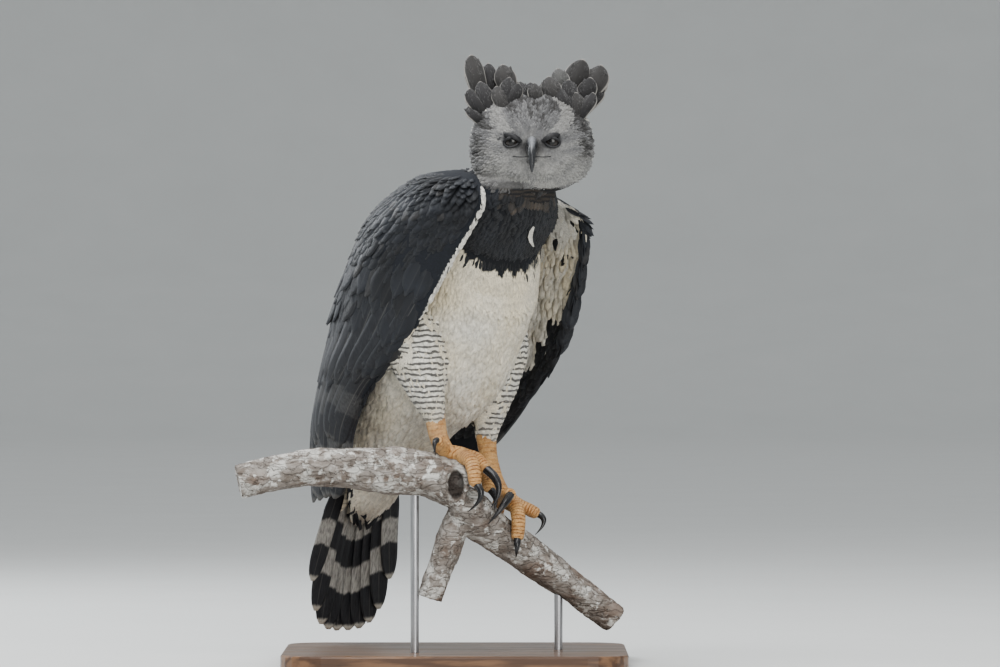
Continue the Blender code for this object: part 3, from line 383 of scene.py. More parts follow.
class Graph:
    def __init__(self, name):
        self.material = bpy.data.materials.new(name)
        self.material.use_nodes = True
        self.tree = self.material.node_tree
        self.surface = self.tree.nodes["Principled BSDF"]

    def link(self, value, socket):
        if isinstance(value, Socket):
            self.tree.links.new(value.out, socket)
        else:
            socket.default_value = value

    def node(self, kind, settings=None, inputs=None, output=0):
        made = self.tree.nodes.new(kind)
        for key, value in (settings or {}).items():
            setattr(made, key, value)
        for key, value in (inputs or {}).items():
            self.link(value, made.inputs[key])
        return Socket(self, made.outputs[output])

    def math(self, operation, *values):
        return self.node("ShaderNodeMath", {"operation": operation}, dict(enumerate(values)))

    def sine(self, value):
        return self.math("SINE", value)

    def reach(self, x, z):
        return self.math("SQRT", x * x + z * z)

    def size(self, value):
        return self.math("ABSOLUTE", value)

    def ramp(self, value, low, high, start=0.0, end=1.0):
        return self.node("ShaderNodeMapRange", {"interpolation_type": "SMOOTHSTEP"},
                         {"Value": value, "From Min": low, "From Max": high, "To Min": start, "To Max": end})

    def mix(self, factor, one, two, way="MIX"):
        inputs = {0: factor, 6: colour(one), 7: colour(two)}
        return self.node("ShaderNodeMix", {"data_type": "RGBA", "blend_type": way}, inputs, 2)

    def shade(self, base, by):
        return self.mix(1.0, base, by, "MULTIPLY")

    def place(self):
        return self.node("ShaderNodeTexCoord", output="Object")

    def apart(self, value):
        split = self.tree.nodes.new("ShaderNodeSeparateXYZ")
        self.link(value, split.inputs[0])
        return [Socket(self, out) for out in split.outputs]

    def own(self, name, output="Vector"):
        return self.node("ShaderNodeAttribute", {"attribute_name": name}, output=output)

    def vector(self, operation, *values):
        return self.node("ShaderNodeVectorMath", {"operation": operation}, dict(enumerate(values)))

    def stretch(self, value, scale):
        return self.vector("MULTIPLY", value, scale)

    def noise(self, where, scale, detail=4.0, rough=0.55, output="Fac"):
        return self.node("ShaderNodeTexNoise", None,
                         {"Vector": where, "Scale": scale, "Detail": detail, "Roughness": rough}, output)

    def cracks(self, where, scale):
        return self.node("ShaderNodeTexVoronoi", {"feature": "DISTANCE_TO_EDGE"},
                         {"Vector": where, "Scale": scale}, "Distance")

    def finish(self, base, rough, height=None, depth=0.0005, strength=0.6, **others):
        self.link(colour(base), self.surface.inputs["Base Color"])
        self.link(rough, self.surface.inputs["Roughness"])
        for key, value in others.items():
            self.link(value, self.surface.inputs[key.replace("_", " ")])
        if height is not None:
            bump = {"Strength": strength, "Distance": depth, "Height": height}
            self.link(self.node("ShaderNodeBump", None, bump), self.surface.inputs["Normal"])
        return self.material


def colour(value):
    return value if isinstance(value, Socket) else (*value[:3], 1.0)


# Geometry: the same forms as the solids, made finer
def bird(side, ahead, up):
    turn = pose["turn"]
    across = math.cos(turn) * side + math.sin(turn) * ahead
    back = math.sin(turn) * side - math.cos(turn) * ahead
    return pose["at"] + Vector((across, back, up))


leftwards = bird(1, 0, 0) - bird(0, 0, 0)
forwards = bird(0, 1, 0) - bird(0, 0, 0)
skyward = Vector((0, 0, 1))


def clamp(value, low=0, high=1):
    return min(max(value, low), high)


def blendRows(rows, place):
    # the numbers at a place between rows, on a smooth curve through them all
    first = clamp(int(place), 0, len(rows) - 2)
    t = place - first
    before, start = rows[max(first - 1, 0)], rows[first]
    end, after = rows[first + 1], rows[min(first + 2, len(rows) - 1)]
    return [
        0.5 * (2 * b + (c - a) * t + (2 * a - 5 * b + 4 * c - d) * t * t + (3 * b - a - 3 * c + d) * t ** 3)
        for a, b, c, d in zip(before, start, end, after)
    ]


def tubePoint(keys, across, place, turn, grow=0.0):
    key = blendRows(keys, place)
    before = Vector(blendRows(keys, max(place - 0.2, 0))[:3])
    after = Vector(blendRows(keys, min(place + 0.2, len(keys) - 1))[:3])
    along = (after - before).normalized()
    width = (across - across.dot(along) * along).normalized()
    depth = along.cross(width)
    wide, deep = key[3] + grow, key[4] + grow
    return Vector(key[:3]) + width * math.cos(turn) * wide + depth * math.sin(turn) * deep


def spanRings(shape, rings, closed=False):
    # faces from ring to ring, and over both ends unless the last ring meets the first
    made, count = [], len(rings[0])
    for one, two in zip(rings, rings[1:] + rings[:1] if closed else rings[1:]):
        for i in range(count):
            made.append(shape.faces.new((one[i], one[(i + 1) % count], two[(i + 1) % count], two[i])))
    if not closed:
        made += [shape.faces.new(rings[0]), shape.faces.new(rings[-1])]
    return made


def loft(shape, rings, closed=False):
    spanRings(shape, [[shape.verts.new(point) for point in ring] for ring in rings], closed)


def tube(keys, across, sides=40, steps=6, grow=0.0, ripple=None):
    keys = [key if len(key) == 5 else (*key, key[3]) for key in keys]
    shape = bmesh.new()
    rings = []
    for n in range((len(keys) - 1) * steps + 1):
        place = n / steps
        ring = []
        for i in range(sides):
            turn = math.tau * i / sides
            more = grow + (ripple(place, turn) * blendRows(keys, place)[3] if ripple else 0)
            ring.append(tubePoint(keys, across, place, turn, more))
        rings.append(ring)
    loft(shape, rings)
    return shape


def onTube(keys):
    return lambda place, turn: tubePoint(keys, leftwards, place, turn)


def bodyKeys(rows):
    return [(*bird(0, row[0], row[1]), row[2], row[3]) for row in rows]


def limbKeys(rows):
    return [(*bird(*row[:3]), *row[3:]) for row in rows]


def wingPoint(rows, place, turn):
    flat = [(*lead, *trail, thick, bulge) for lead, trail, thick, bulge in rows]
    numbers = blendRows(flat, place)
    lead, trail = bird(*numbers[:3]), bird(*numbers[3:6])
    outwards = -leftwards if numbers[0] < 0 else leftwards
    half = (lead - trail) / 2
    out = (outwards - outwards.dot(half.normalized()) * half.normalized()).normalized()
    lifted = numbers[6] * math.sin(turn) + numbers[7] * math.sin(turn) ** 2
    return (lead + trail) / 2 + half * math.cos(turn) + out * lifted


def wingShape(rows, sides=36, steps=5):
    shape = bmesh.new()
    loft(shape, [[wingPoint(rows, n / steps, math.tau * i / sides) for i in range(sides)]
                 for n in range((len(rows) - 1) * steps + 1)])
    return shape


def faceReach(turn):
    across, up = math.cos(turn), math.sin(turn)
    tall = face["top"] if up > 0 else face["bottom"]
    power = face["power"]
    return (abs(across / face["halfWidth"]) ** power + abs(up / tall) ** power) ** (-1 / power)


def onHead(at, sign=1):
    return pose["head"] + Vector((sign * at[0], at[1], at[2]))


def headPoint(place, turn, grow=0.0):
    depth, scale = blendRows(face["rings"], place)
    reach = faceReach(turn) * max(scale, 0.02) + grow
    return pose["head"] + Vector((reach * math.cos(turn), depth, reach * math.sin(turn)))


def headShape(grow, sides=56, steps=5):
    shape = bmesh.new()
    loft(shape, [[headPoint(n / steps, math.tau * i / sides, grow) for i in range(sides)]
                 for n in range((len(face["rings"]) - 1) * steps + 1)])
    return shape


def ball(radius, middle, scale=(1, 1, 1), sides=32):
    shape = bmesh.new()
    bmesh.ops.create_uvsphere(shape, u_segments=sides, v_segments=sides * 3 // 4, radius=radius)
    bmesh.ops.scale(shape, verts=shape.verts[:], vec=scale)
    bmesh.ops.translate(shape, verts=shape.verts[:], vec=middle)
    return shape


def meshOf(name, shape, finish=None):
    mesh = bpy.data.meshes.new(name)
    shape.to_mesh(mesh)
    shape.free()
    if finish:
        mesh.materials.append(finish)
    return mesh


def addObject(name, data, slot=None):
    made = bpy.data.objects.new(name, data)
    bpy.context.scene.collection.objects.link(made)
    if slot:
        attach(made, "root")
    return made


def piece(name, shapes, finish, slot, replaced=()):
    whole = bmesh.new()
    for shape in shapes:
        bmesh.ops.recalc_face_normals(shape, faces=shape.faces[:])
        part = meshOf("part", shape)
        whole.from_mesh(part)
        bpy.data.meshes.remove(part)
    for one in whole.faces:
        one.smooth = True
    made = addObject(name, meshOf(name, whole, finish), slot)
    if replaced:
        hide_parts(*replaced)
    return made


def remesh(thing, voxel, smooth):
    change = thing.modifiers.new("one skin", "REMESH")
    change.mode = "VOXEL"
    change.voxel_size = voxel
    change.use_smooth_shade = True
    settle = thing.modifiers.new("settle", "SMOOTH")
    settle.iterations = smooth
    bpy.context.view_layer.update()
    graph = bpy.context.evaluated_depsgraph_get()
    result = bpy.data.meshes.new_from_object(thing.evaluated_get(graph))
    thing.modifiers.clear()
    thing.data = result
    for one in result.polygons:
        one.use_smooth = True


def treeOf(thing):
    shape = bmesh.new()
    shape.from_mesh(thing.data)
    tree = BVHTree.FromBMesh(shape)
    shape.free()
    return tree


def nearestOf(points):
    tree = KDTree(len(points))
    for n, point in enumerate(points):
        tree.insert(point, n)
    tree.balance()
    return tree


# Feathers: one small vane of each shape, put on the skin as points that
# Geometry Nodes fills with copies and makes into one mesh
def between(values, spot):
    first = min(int(spot), len(values) - 2)
    return values[first] + (values[first + 1] - values[first]) * (spot - first)


def vaneShape(name, plan, finish):
    shape = bmesh.new()
    bmesh.ops.create_grid(shape, x_segments=plan["across"], y_segments=plan["along"], size=0.5)
    for v in shape.verts:
        u, along = v.co.x * 2, v.co.y + 0.5
        half = between(plan["widths"], along * (len(plan["widths"]) - 1))
        dip = -plan["cup"] * u * u - plan["curl"] * along * along
        v.co = Vector((u * half, along - 0.10 * u * u * along ** 3, dip * 0.9))
    bmesh.ops.solidify(shape, geom=shape.faces[:], thickness=plan["thick"])
    bmesh.ops.recalc_face_normals(shape, faces=shape.faces[:])
    for one in shape.faces:
        one.smooth = True
    mesh = meshOf(name, shape, finish)
    spots = mesh.attributes.new("vane", "FLOAT_VECTOR", "POINT")
    for v, spot in zip(mesh.vertices, spots.data):
        spot.vector = (v.co.x, clamp(v.co.y), 0.0)
    made = addObject(name, mesh)
    made.hide_render = True
    made.hide_viewport = True
    return made


def copyNodes(name, template):
    group = bpy.data.node_groups.new(name, "GeometryNodeTree")
    group.interface.new_socket("Geometry", in_out="INPUT", socket_type="NodeSocketGeometry")
    group.interface.new_socket("Geometry", in_out="OUTPUT", socket_type="NodeSocketGeometry")
    nodes, links = group.nodes, group.links

    def field(key, kind):
        made = nodes.new("GeometryNodeInputNamedAttribute")
        made.data_type = kind
        made.inputs["Name"].default_value = key
        return made.outputs["Attribute"]

    start, end = nodes.new("NodeGroupInput"), nodes.new("NodeGroupOutput")
    source = nodes.new("GeometryNodeObjectInfo")
    source.inputs["Object"].default_value = template
    turned = nodes.new("FunctionNodeEulerToRotation")
    links.new(field("turned", "FLOAT_VECTOR"), turned.inputs[0])
    copies = nodes.new("GeometryNodeInstanceOnPoints")
    links.new(start.outputs[0], copies.inputs["Points"])
    links.new(source.outputs["Geometry"], copies.inputs["Instance"])
    links.new(turned.outputs[0], copies.inputs["Rotation"])
    links.new(field("measure", "FLOAT_VECTOR"), copies.inputs["Scale"])
    real = nodes.new("GeometryNodeRealizeInstances")
    links.new(copies.outputs[0], real.inputs[0])
    patch = nodes.new("ShaderNodeVectorMath")
    patch.operation = "MULTIPLY_ADD"
    links.new(field("vane", "FLOAT_VECTOR"), patch.inputs[0])
    patch.inputs[1].default_value = (patchSize, patchSize, 0.0)
    links.new(field("rootAt", "FLOAT_VECTOR"), patch.inputs[2])
    keep = nodes.new("GeometryNodeStoreNamedAttribute")
    keep.data_type = "FLOAT2"
    keep.domain = "CORNER"
    keep.inputs["Name"].default_value = "OFBake"
    links.new(real.outputs[0], keep.inputs["Geometry"])
    links.new(patch.outputs[0], keep.inputs["Value"])
    links.new(keep.outputs[0], end.inputs[0])
    return group


def coat(name, feathers, template, slot):
    # feathers: place, down, normal, width, length, tone, rim, root on the unwrap
    faces = sum(len(one.vertices) - 2 for one in template.data.polygons)
    random.Random(5).shuffle(feathers)
    count = math.ceil(len(feathers) / (mostTriangles // faces))
    group = copyNodes(name, template)
    for n in range(count):
        some = feathers[n::count]
        mesh = bpy.data.meshes.new(name)
        mesh.from_pydata([one[0] for one in some], [], [])
        turns, sizes, roots, shades, rims = [], [], [], [], []
        for _, down, normal, width, length, shade, edge, root in some:
            across = down.cross(normal).normalized()
            turns += Matrix((across, down, across.cross(down))).transposed().to_euler()[:]
            sizes += (width, length, length)
            roots += (*root, 0.0)
            shades += shade
            rims += edge
        kept = {"turned": turns, "measure": sizes, "rootAt": roots, "tone": shades, "rim": rims}
        for key, values in kept.items():
            mesh.attributes.new(key, "FLOAT_VECTOR", "POINT").data.foreach_set("vector", values)
        made = addObject(f"{name}_{n + 1}" if count > 1 else name, mesh, slot)
        made.modifiers.new("feathers", "NODES").node_group = group
    print(f"{name}: {len(feathers)} feathers, {len(feathers) * faces} triangles")


def longFeather(shape, points, widths, lies, look, across=6, thick=0.0007, cup=0.10):
    # one curved vane with its own shaft; look holds its tone, its rim and its place on the unwrap
    keys = {name: shape.verts.layers.float_vector[name] for name in ("vane", "tone", "rim")}
    patch = shape.loops.layers.uv["OFBake"]
    length = sum((b - a).length for a, b in zip(points, points[1:]))
    rings, gone = [], 0.0
    for n, (point, width, lie) in enumerate(zip(points, widths, lies)):
        before, after = points[max(n - 1, 0)], points[min(n + 1, len(points) - 1)]
        along = (after - before).normalized()
        broad = (lie - lie.dot(along) * along).normalized()
        face = broad.cross(along).normalized()
        if n:
            gone += (point - points[n - 1]).length
        ring = []
        for layer in (1, -1):
            for i in range(across + 1):
                u = (2 * i / across - 1) * layer
                ridge = 0.0006 if abs(u) < 0.1 else 0.0
                rise = layer * (thick / 2 + ridge) - cup * width * u * u
                v = shape.verts.new(point + broad * u * width / 2 + face * rise)
                v[keys["vane"]] = (u * 0.5, gone / length, length - gone)
                v[keys["tone"]] = look["tone"]
                v[keys["rim"]] = look["rim"]
                ring.append(v)
        rings.append(ring)
    for one in spanRings(shape, rings):
        one.smooth = True
        for loop in one.loops:
            vane = loop.vert[keys["vane"]]
            loop[patch].uv = [start + patchSize * step for start, step in zip(look["root"], vane)]


def featherShape():
    shape = bmesh.new()
    for name in ("vane", "tone", "rim"):
        shape.verts.layers.float_vector.new(name)
    shape.loops.layers.uv.new("OFBake")
    return shape


def keepPiece(name, shape, finish, slot):
    bmesh.ops.recalc_face_normals(shape, faces=shape.faces[:])
    addObject(name, meshOf(name, shape, finish), slot)


# Markings, with some painted shade low on the face, the same on skin and coat, worked out from where a point
# lies
def wobble(point, scale, seed=0.0):
    return noise.noise(point * scale + Vector((seed, 0, 0)))


def mixed(one, two, share):
    first = tones[one] if isinstance(one, str) else one
    return [a + (b - a) * clamp(share) for a, b in zip(first, tones[two])]


def varied(tone, amount):
    by = 1 + rng.uniform(-amount, amount)
    return [value * by for value in tone]


def besideHead(local):
    # past the round of the face, low at its side
    return local.z < -0.018 and math.hypot(local.x, local.z) > 0.089


def inHead(local):
    return (local.x / 0.100) ** 2 + (local.y / 0.105) ** 2 + (local.z / 0.088) ** 2 < 1


def onThigh(point, reach):
    # within a thigh, or this much of its width and depth squared round it
    at = point - pose["at"]
    side, ahead = at.dot(leftwards), at.dot(forwards)
    for rows in thighs.values():
        for upper, lower in zip(rows, rows[1:]):
            if lower[2] <= point.z <= upper[2]:
                part = (upper[2] - point.z) / (upper[2] - lower[2])
                row = [a + (b - a) * part for a, b in zip(upper, lower)]
                if ((side - row[0]) / row[3]) ** 2 + ((ahead - row[1]) / row[4]) ** 2 < reach:
                    return True
    return False


def formMap():
    # sample points of the forms under the skin, each with what it belongs to
    spots = []

    def take(form, rows, kindAt, steps=6, turns=range(0, 360, 5)):
        for k in range(steps * (len(rows) - 1) + 1):
            for turn in turns:
                spots.append((form(k / steps, math.radians(turn)), kindAt(turn)))

    for kind in ("torso", "neck"):
        keys = bodyKeys(body[kind])
        take(lambda place, turn: tubePoint(keys, leftwards, place, turn, skinPlan[kind]), keys,
             lambda turn: kind)
    take(lambda place, turn: headPoint(place, turn, skinPlan["head"]), face["rings"], lambda turn: "head")
    for side, rows in wings.items():
        end = wingPlan[side]["liningEnd"]
        take(lambda place, turn: wingPoint(rows, place, turn), rows,
             lambda turn: "outer" if turn > end else "lining", 8, range(-176, 180, 5))
    return nearestOf([point for point, _ in spots]), [kind for _, kind in spots]


def belongs(point):
    tree, kinds = forms
    return kinds[tree.find(point)[1]]


def onLining(point, normal):
    return belongs(point) == "lining"


def torsoTone(point, normal):
    high = point.z + 0.008 * wobble(point, 60) + 0.005 * wobble(point, 150, 3)
    side = (point - pose["at"]).dot(leftwards)
    backwards = -normal.dot(forwards) + 0.05 * wobble(point, 30, 5)
    if backwards > (0.25 if point.z > 0.30 else 0.05):    # the back
        return mixed("slate", "coal", 0.5 + wobble(point, 25))
    # the dark breast band, whose lower edge rises to both sides
    if high > markings["band"] + 6.0 * (side - 0.005) ** 2 + 0.004 * math.cos(side * 260):
        return mixed("coal", "slate", 0.3 + wobble(point, 30))
    return mixed("white", "cream", 0.50 + 3.2 * max(0, point.z - 0.47) + 0.5 * wobble(point, 18))


def neckTone(point, normal):
    local = point - pose["head"]
    near = math.hypot(point.x - neckAt[0], point.y - neckAt[1]) < neckAt[2]
    high = local.z + 0.003 * wobble(point, 90) > markings["collar"]
    if near and high and local.x > -0.046 and normal.y < -0.2:    # the wavy brown collar in front
        low = (markings["collar"] - local.z) / (markings["collar"] + 0.060)
        wave = 0.25 + 0.6 * math.sin(local.z * 1100 + 5 * wobble(point, 40))
        return mixed("coal", "brown", wave * (1 - 0.4 * low))
    return mixed("coal", "slate", 0.4 + wobble(point, 30))


def headTone(point, normal):
    local = point - pose["head"]
    tall = face["top"] if local.z > 0 else face["bottom"]
    share = math.hypot(local.x / face["halfWidth"], local.z / tall)
    mottle = wobble(point, 95) + 0.7 * wobble(point, 210, 4)
    if local.y > 0.0:    # the back of the head
        return mixed("grey", "dusk", 0.55 + 0.8 * mottle + 4 * local.y)
    tone = mixed("grey", "pale", 0.30 - local.z * 10 + 0.5 * mottle)
    side = clamp((share - 0.66) / 0.08) * clamp((0.95 - share) / 0.04) * clamp((local.z + 0.026) / 0.02)
    tone = mixed(tone, "dusk", side * (0.50 + 1.1 * mottle))    # round the edge of the face
    arch = math.hypot(local.x / 0.038, (local.z - 0.046) / 0.030)
    if arch < 1:    # spots on the forehead, and the pale arch over it
        tone = mixed(tone, "dusk", (0.12 + 2.0 * wobble(point, 165, 8)) * (1 - arch ** 4))
    elif arch < 1.45 and local.z > 0.02:
        tone = mixed(tone, "pale", 0.55)
    if share > 0.945 and local.z > -0.018:
        tone = mixed(tone, "white", 0.85)
    for sign in (-1, 1):    # dark about the eyes
        x, z = local.x - sign * eye["spread"], local.z - eye["up"]
        away = math.hypot(x * 0.9, (z - sign * x * 0.25) * 1.5)
        tone = mixed(tone, "coal", 1.9 - away / 0.0085)
    if local.z < -0.046 and (normal.z < -0.75 or local.x < 0):    # painted shade: greyer under the cheeks and the chin where they face down, and on the side away from the front lamp
        tone = mixed(tone, "grey", 0.7)
    # painted shade: darker low on the face's side away from the front lamp
    if local.z < -0.050 and local.x < -0.012:
        tone = mixed(tone, "dusk", 0.5)
    tone = mixed(tone, "brown", (-0.0585 - local.z) / 0.003)
    # and the dark skin between the eyes and the bill
    return mixed(tone, "dusk", 1.4 - 1.4 * math.hypot(local.x / 0.024, (local.z - 0.001) / 0.015))


def regionTone(point, normal):
    kind = belongs(point)
    local = point - pose["head"]
    above = local.z > -0.058 + 0.002 * wobble(point, 150)
    if kind in ("head", "neck") and above and inHead(local) and not besideHead(local):
        return headTone(point, normal)
    if kind in ("outer", "lining") and not onThigh(point, 1.6):
        # the part of each wing's lining that shows pale from the front
        low, high, back = (0.50, 0.69, -0.01) if point.x < 0.055 else (0.41, 0.68, -0.08)
        ahead = (point - pose["at"]).dot(forwards)
        light = kind == "lining" and low < point.z < high and normal.y < 0.5 and ahead > back
        return tones["white" if light else "slate"]
    if kind in ("head", "neck") and point.z > 0.645:
        return neckTone(point, normal)
    return torsoTone(point, normal)


forms = formMap()


def lightSlot(tone):
    light = sum(tone) / 3
    return "plumage_white" if light > 0.55 else "plumage_grey" if light > 0.12 else "plumage_black"


def rootAt(across, along):
    # a feather's place on the unwrap, a little in from its edges
    return 0.02 + 0.96 * across, 0.02 + 0.96 * along


# Where feathers go: rows down a form, each put back on the one skin
def rowsOf(form, plan, look, tree, found, keep=None, size=None, slotOf=lightSlot):
    start, end = plan["rows"]
    first, last = plan.get("turns", (0, math.tau))
    span = last - first

    def facing(at, turn):
        along = form(at + smallStep, turn) - form(at - smallStep, turn)
        return along.cross(form(at, turn + smallStep) - form(at, turn - smallStep)).normalized()

    middle = (start + end) / 2
    across = form(middle, math.pi / 2) - form(middle, -math.pi / 2)
    flip = -1 if facing(middle, math.pi / 2).dot(across) < 0 else 1
    place, row = start, 0
    while place < end:
        ahead = form(place + smallStep, first + 1.0) - form(place - smallStep, first + 1.0)
        ahead = max(ahead.length / (2 * smallStep), 0.01)
        around = [form(place, first + span * i / 24) for i in range(25)]
        reach = sum((b - a).length for a, b in zip(around, around[1:]))
        scale = size(place) if size else 1.0
        count = max(int(reach / (plan["across"] * scale)), 3)
        for i in range(count):
            share = (i + 0.5 * (row % 2) + rng.uniform(-0.25, 0.25)) / count
            turn = first + span * share
            here = place + rng.uniform(-0.3, 0.3) * plan["down"] / ahead
            hit, normal, _, distance = tree.find_nearest(form(here, turn))
            if distance > plan["away"] or normal.dot(facing(here, turn)) * flip < 0.35:
                continue
            down = form(here + smallStep, turn) - form(here - smallStep, turn)
            root = rootAt(share, (place - start) / (end - start))
            addFeather(found, plan, hit, normal, down, scale, look, root, keep, slotOf=slotOf)
        place += plan["down"] * scale / ahead
        row += 1


def addFeather(found, plan, hit, normal, down, scale, look, root, keep=None, lean=0.10, slotOf=lightSlot):
    down = (down - down.dot(normal) * normal).normalized()
    side = normal.cross(down)
    down = (down + side * rng.uniform(-lean, lean)).normalized()
    if keep and not keep(hit, normal):
        return
    lift = math.radians(plan["lift"] * rng.uniform(0.7, 1.35))
    lying = down * math.cos(lift) + normal * math.sin(lift)
    roll = rng.uniform(-0.12, 0.12)
    up = (normal * math.cos(lift) - down * math.sin(lift) + side * roll).normalized()
    tone, rim = look(hit, normal)
    if keep is onLining and not onLining(hit + lying * plan["length"] * scale, normal):
        return    # its tip would stand out past the wing
    grown = scale * rng.uniform(0.85, 1.15)
    found.setdefault(slotOf(tone), []).append(
        (hit - normal * 0.0006, lying, up, plan["width"] * grown, plan["length"] * grown,
         varied(tone, 0.10), rim, root))


# Materials
def featherMaterial(name, rough, sheen, rimTone, shaft=0.12, edges=(0.32, 0.82)):
    # each feather brings its own tone, how pale its rim is and how strong its bars are
    graph = Graph(name)
    across, along, _ = graph.apart(graph.own("vane"))
    rim, bars, _ = graph.apart(graph.own("rim"))
    _, _, height = graph.apart(graph.place())
    side = graph.size(across)
    lines = graph.sine(along * 150 + side * 120)
    cross = graph.noise(graph.place(), 260, 3)
    patch = graph.noise(graph.place(), 24, 3)
    edge = graph.math("MAXIMUM", graph.ramp(side, edges[0], 0.49), graph.ramp(along, edges[1], 0.99))
    base = graph.shade(graph.own("tone", "Color"), graph.ramp(cross, 0.25, 0.75, 0.84, 1.14))
    base = graph.shade(base, graph.ramp(lines, -1, 1, 0.90, 1.06))
    # painted shade: darker towards each feather's root, where the feather above overlaps it
    base = graph.shade(base, graph.ramp(along, 0.25, 0.80, 0.78, 1.04))
    base = graph.mix(graph.ramp(side, 0.035, 0.015) * shaft, base, (0.30, 0.29, 0.27))
    base = graph.mix(edge * rim, base, rimTone)
    wave = graph.noise(graph.place(), 55, 2) * 8.0
    dark = graph.ramp(graph.sine(height * markings["barsPerMetre"] * math.tau + wave), 0.10, 0.50) * bars
    base = graph.mix(dark, base, (0.020, 0.020, 0.022))
    base = graph.shade(base, graph.ramp(patch, 0.3, 0.7, 0.90, 1.07))
    return graph.finish(base, graph.ramp(cross, 0.2, 0.8, rough - 0.08, rough + 0.10),
                        lines * 0.5 + cross, 0.0004, 0.5, Sheen_Weight=sheen)


def bandedMaterial(name):
    # tail and primary feathers: pale bands counted from the tip
    graph = Graph(name)
    across, _, fromTip = graph.apart(graph.own("vane"))
    rim, bars, _ = graph.apart(graph.own("rim"))
    side = graph.size(across)
    ragged = graph.noise(graph.stretch(graph.place(), (1, 1, 0.3)), 320, 3) * 0.006
    spot = fromTip + ragged + side * 0.010
    band = 0
    for low, high in markings["bands"]:
        begun = graph.ramp(spot, low - 0.002, low + 0.003)
        band = band + begun * graph.ramp(spot, high + 0.003, high - 0.003)
    lines = graph.sine(fromTip * 2600 + side * 110)
    streak = graph.noise(graph.stretch(graph.place(), (1, 1, 0.08)), 420, 3)
    base = graph.mix(graph.ramp(streak, 0.3, 0.7), (0.011, 0.012, 0.016), (0.029, 0.031, 0.037))
    pale = graph.mix(graph.ramp(streak, 0.25, 0.75), (0.20, 0.195, 0.185), (0.50, 0.49, 0.46))
    base = graph.mix(band * bars, base, pale)
    base = graph.mix(graph.ramp(fromTip + ragged, 0.014, 0.007) * bars, base, (0.55, 0.53, 0.48))
    base = graph.mix(graph.ramp(side, 0.030, 0.012) * 0.22, base, (0.26, 0.25, 0.23))
    base = graph.mix(graph.ramp(side, 0.40, 0.50) * rim * 0.6, base, (0.17, 0.18, 0.19))
    base = graph.shade(base, graph.ramp(lines, -1, 1, 0.86, 1.08))
    return graph.finish(base, graph.ramp(streak, 0.2, 0.8, 0.42, 0.60), lines * 0.4 + streak, 0.0004, 0.5)


def skinMaterial():
    graph = Graph("downySkin")
    fluff = graph.noise(graph.place(), 420, 4)
    base = graph.shade(graph.own("tone", "Color"), graph.ramp(fluff, 0.25, 0.75, 0.65, 1.05))
    return graph.finish(base, 0.85, fluff, 0.0010, 0.7)


def footMaterial():
    graph = Graph("scaledSkin")
    where = graph.place()
    plate = graph.own("plate", "Fac")
    grains = graph.cracks(where, 560)
    patch = graph.noise(where, 70, 4)
    fine = graph.noise(where, 900, 3)
    base = graph.mix(graph.ramp(patch, 0.35, 0.65), (0.42, 0.190, 0.055), (0.66, 0.38, 0.150))
    base = graph.mix(graph.ramp(graph.noise(where, 28, 3), 0.45, 0.70) * 0.6, base, (0.50, 0.33, 0.18))
    # painted highlight: pale patches on the middles of the plates, where light would catch the scales
    plateHighlight = graph.ramp(plate, 0.80, 1.0) * graph.ramp(fine, 0.35, 0.65) * 0.40
    base = graph.mix(plateHighlight, base, (0.86, 0.66, 0.40))
    base = graph.mix(graph.ramp(plate, 0.75, 0.25) * 0.85, base, (0.20, 0.085, 0.035))
    base = graph.mix(graph.ramp(grains, 0.12, 0.0) * 0.50, base, (0.22, 0.10, 0.045))
    dirt = graph.ramp(graph.noise(where, 150, 4), 0.56, 0.68) * 0.55
    base = graph.mix(dirt, base, (0.16, 0.085, 0.045))
    height = graph.ramp(plate, 0.2, 0.9) * 1.2 + graph.ramp(grains, 0.0, 0.22) * 0.6 + fine * 0.3
    return graph.finish(base, graph.ramp(patch, 0.2, 0.8, 0.42, 0.62), height, 0.0007, 0.9)


# ridge is how strongly a painted highlight lightens the faces that look upwards
def hornMaterial(name, dark, light, ridge, rough=0.20, gloss=0.25):
    graph = Graph(name)
    where = graph.place()
    grain = graph.noise(graph.stretch(where, (1, 1, 0.25)), 340, 4)
    scratch = graph.noise(graph.stretch(where, (1, 0.2, 0.2)), 1300, 2)
    _, _, facing = graph.apart(graph.node("ShaderNodeNewGeometry", output="Normal"))
    base = graph.mix(graph.ramp(grain, 0.3, 0.75) * 0.7, dark, light)
    # painted highlight: blue-grey on the faces that look upwards, such as along the bill's ridge
    base = graph.mix(graph.ramp(facing, 0.35, 0.95) * ridge, base, (0.30, 0.31, 0.33))
    return graph.finish(base, graph.ramp(scratch, 0.3, 0.7, rough, rough + 0.16), grain + scratch * 0.4,
                        0.0002, 0.35, Coat_Weight=gloss)


def eyeMaterial(middle):
    graph = Graph("darkEye")
    where = graph.vector("SUBTRACT", graph.place(), middle)
    x, _, z = graph.apart(where)
    reach = graph.reach(x, z)
    rays = graph.noise(graph.stretch(where, (1, 0.1, 1)), 900, 3)
    base = graph.mix(graph.ramp(rays, 0.3, 0.7), (0.012, 0.010, 0.009), (0.036, 0.029, 0.025))
    base = graph.mix(graph.ramp(reach, 0.0050, 0.0044), base, (0.002, 0.002, 0.002))
    base = graph.mix(graph.ramp(reach, 0.0082, 0.0094), base, (0.008, 0.007, 0.007))
    return graph.finish(base, 0.16, Coat_Weight=0.2)


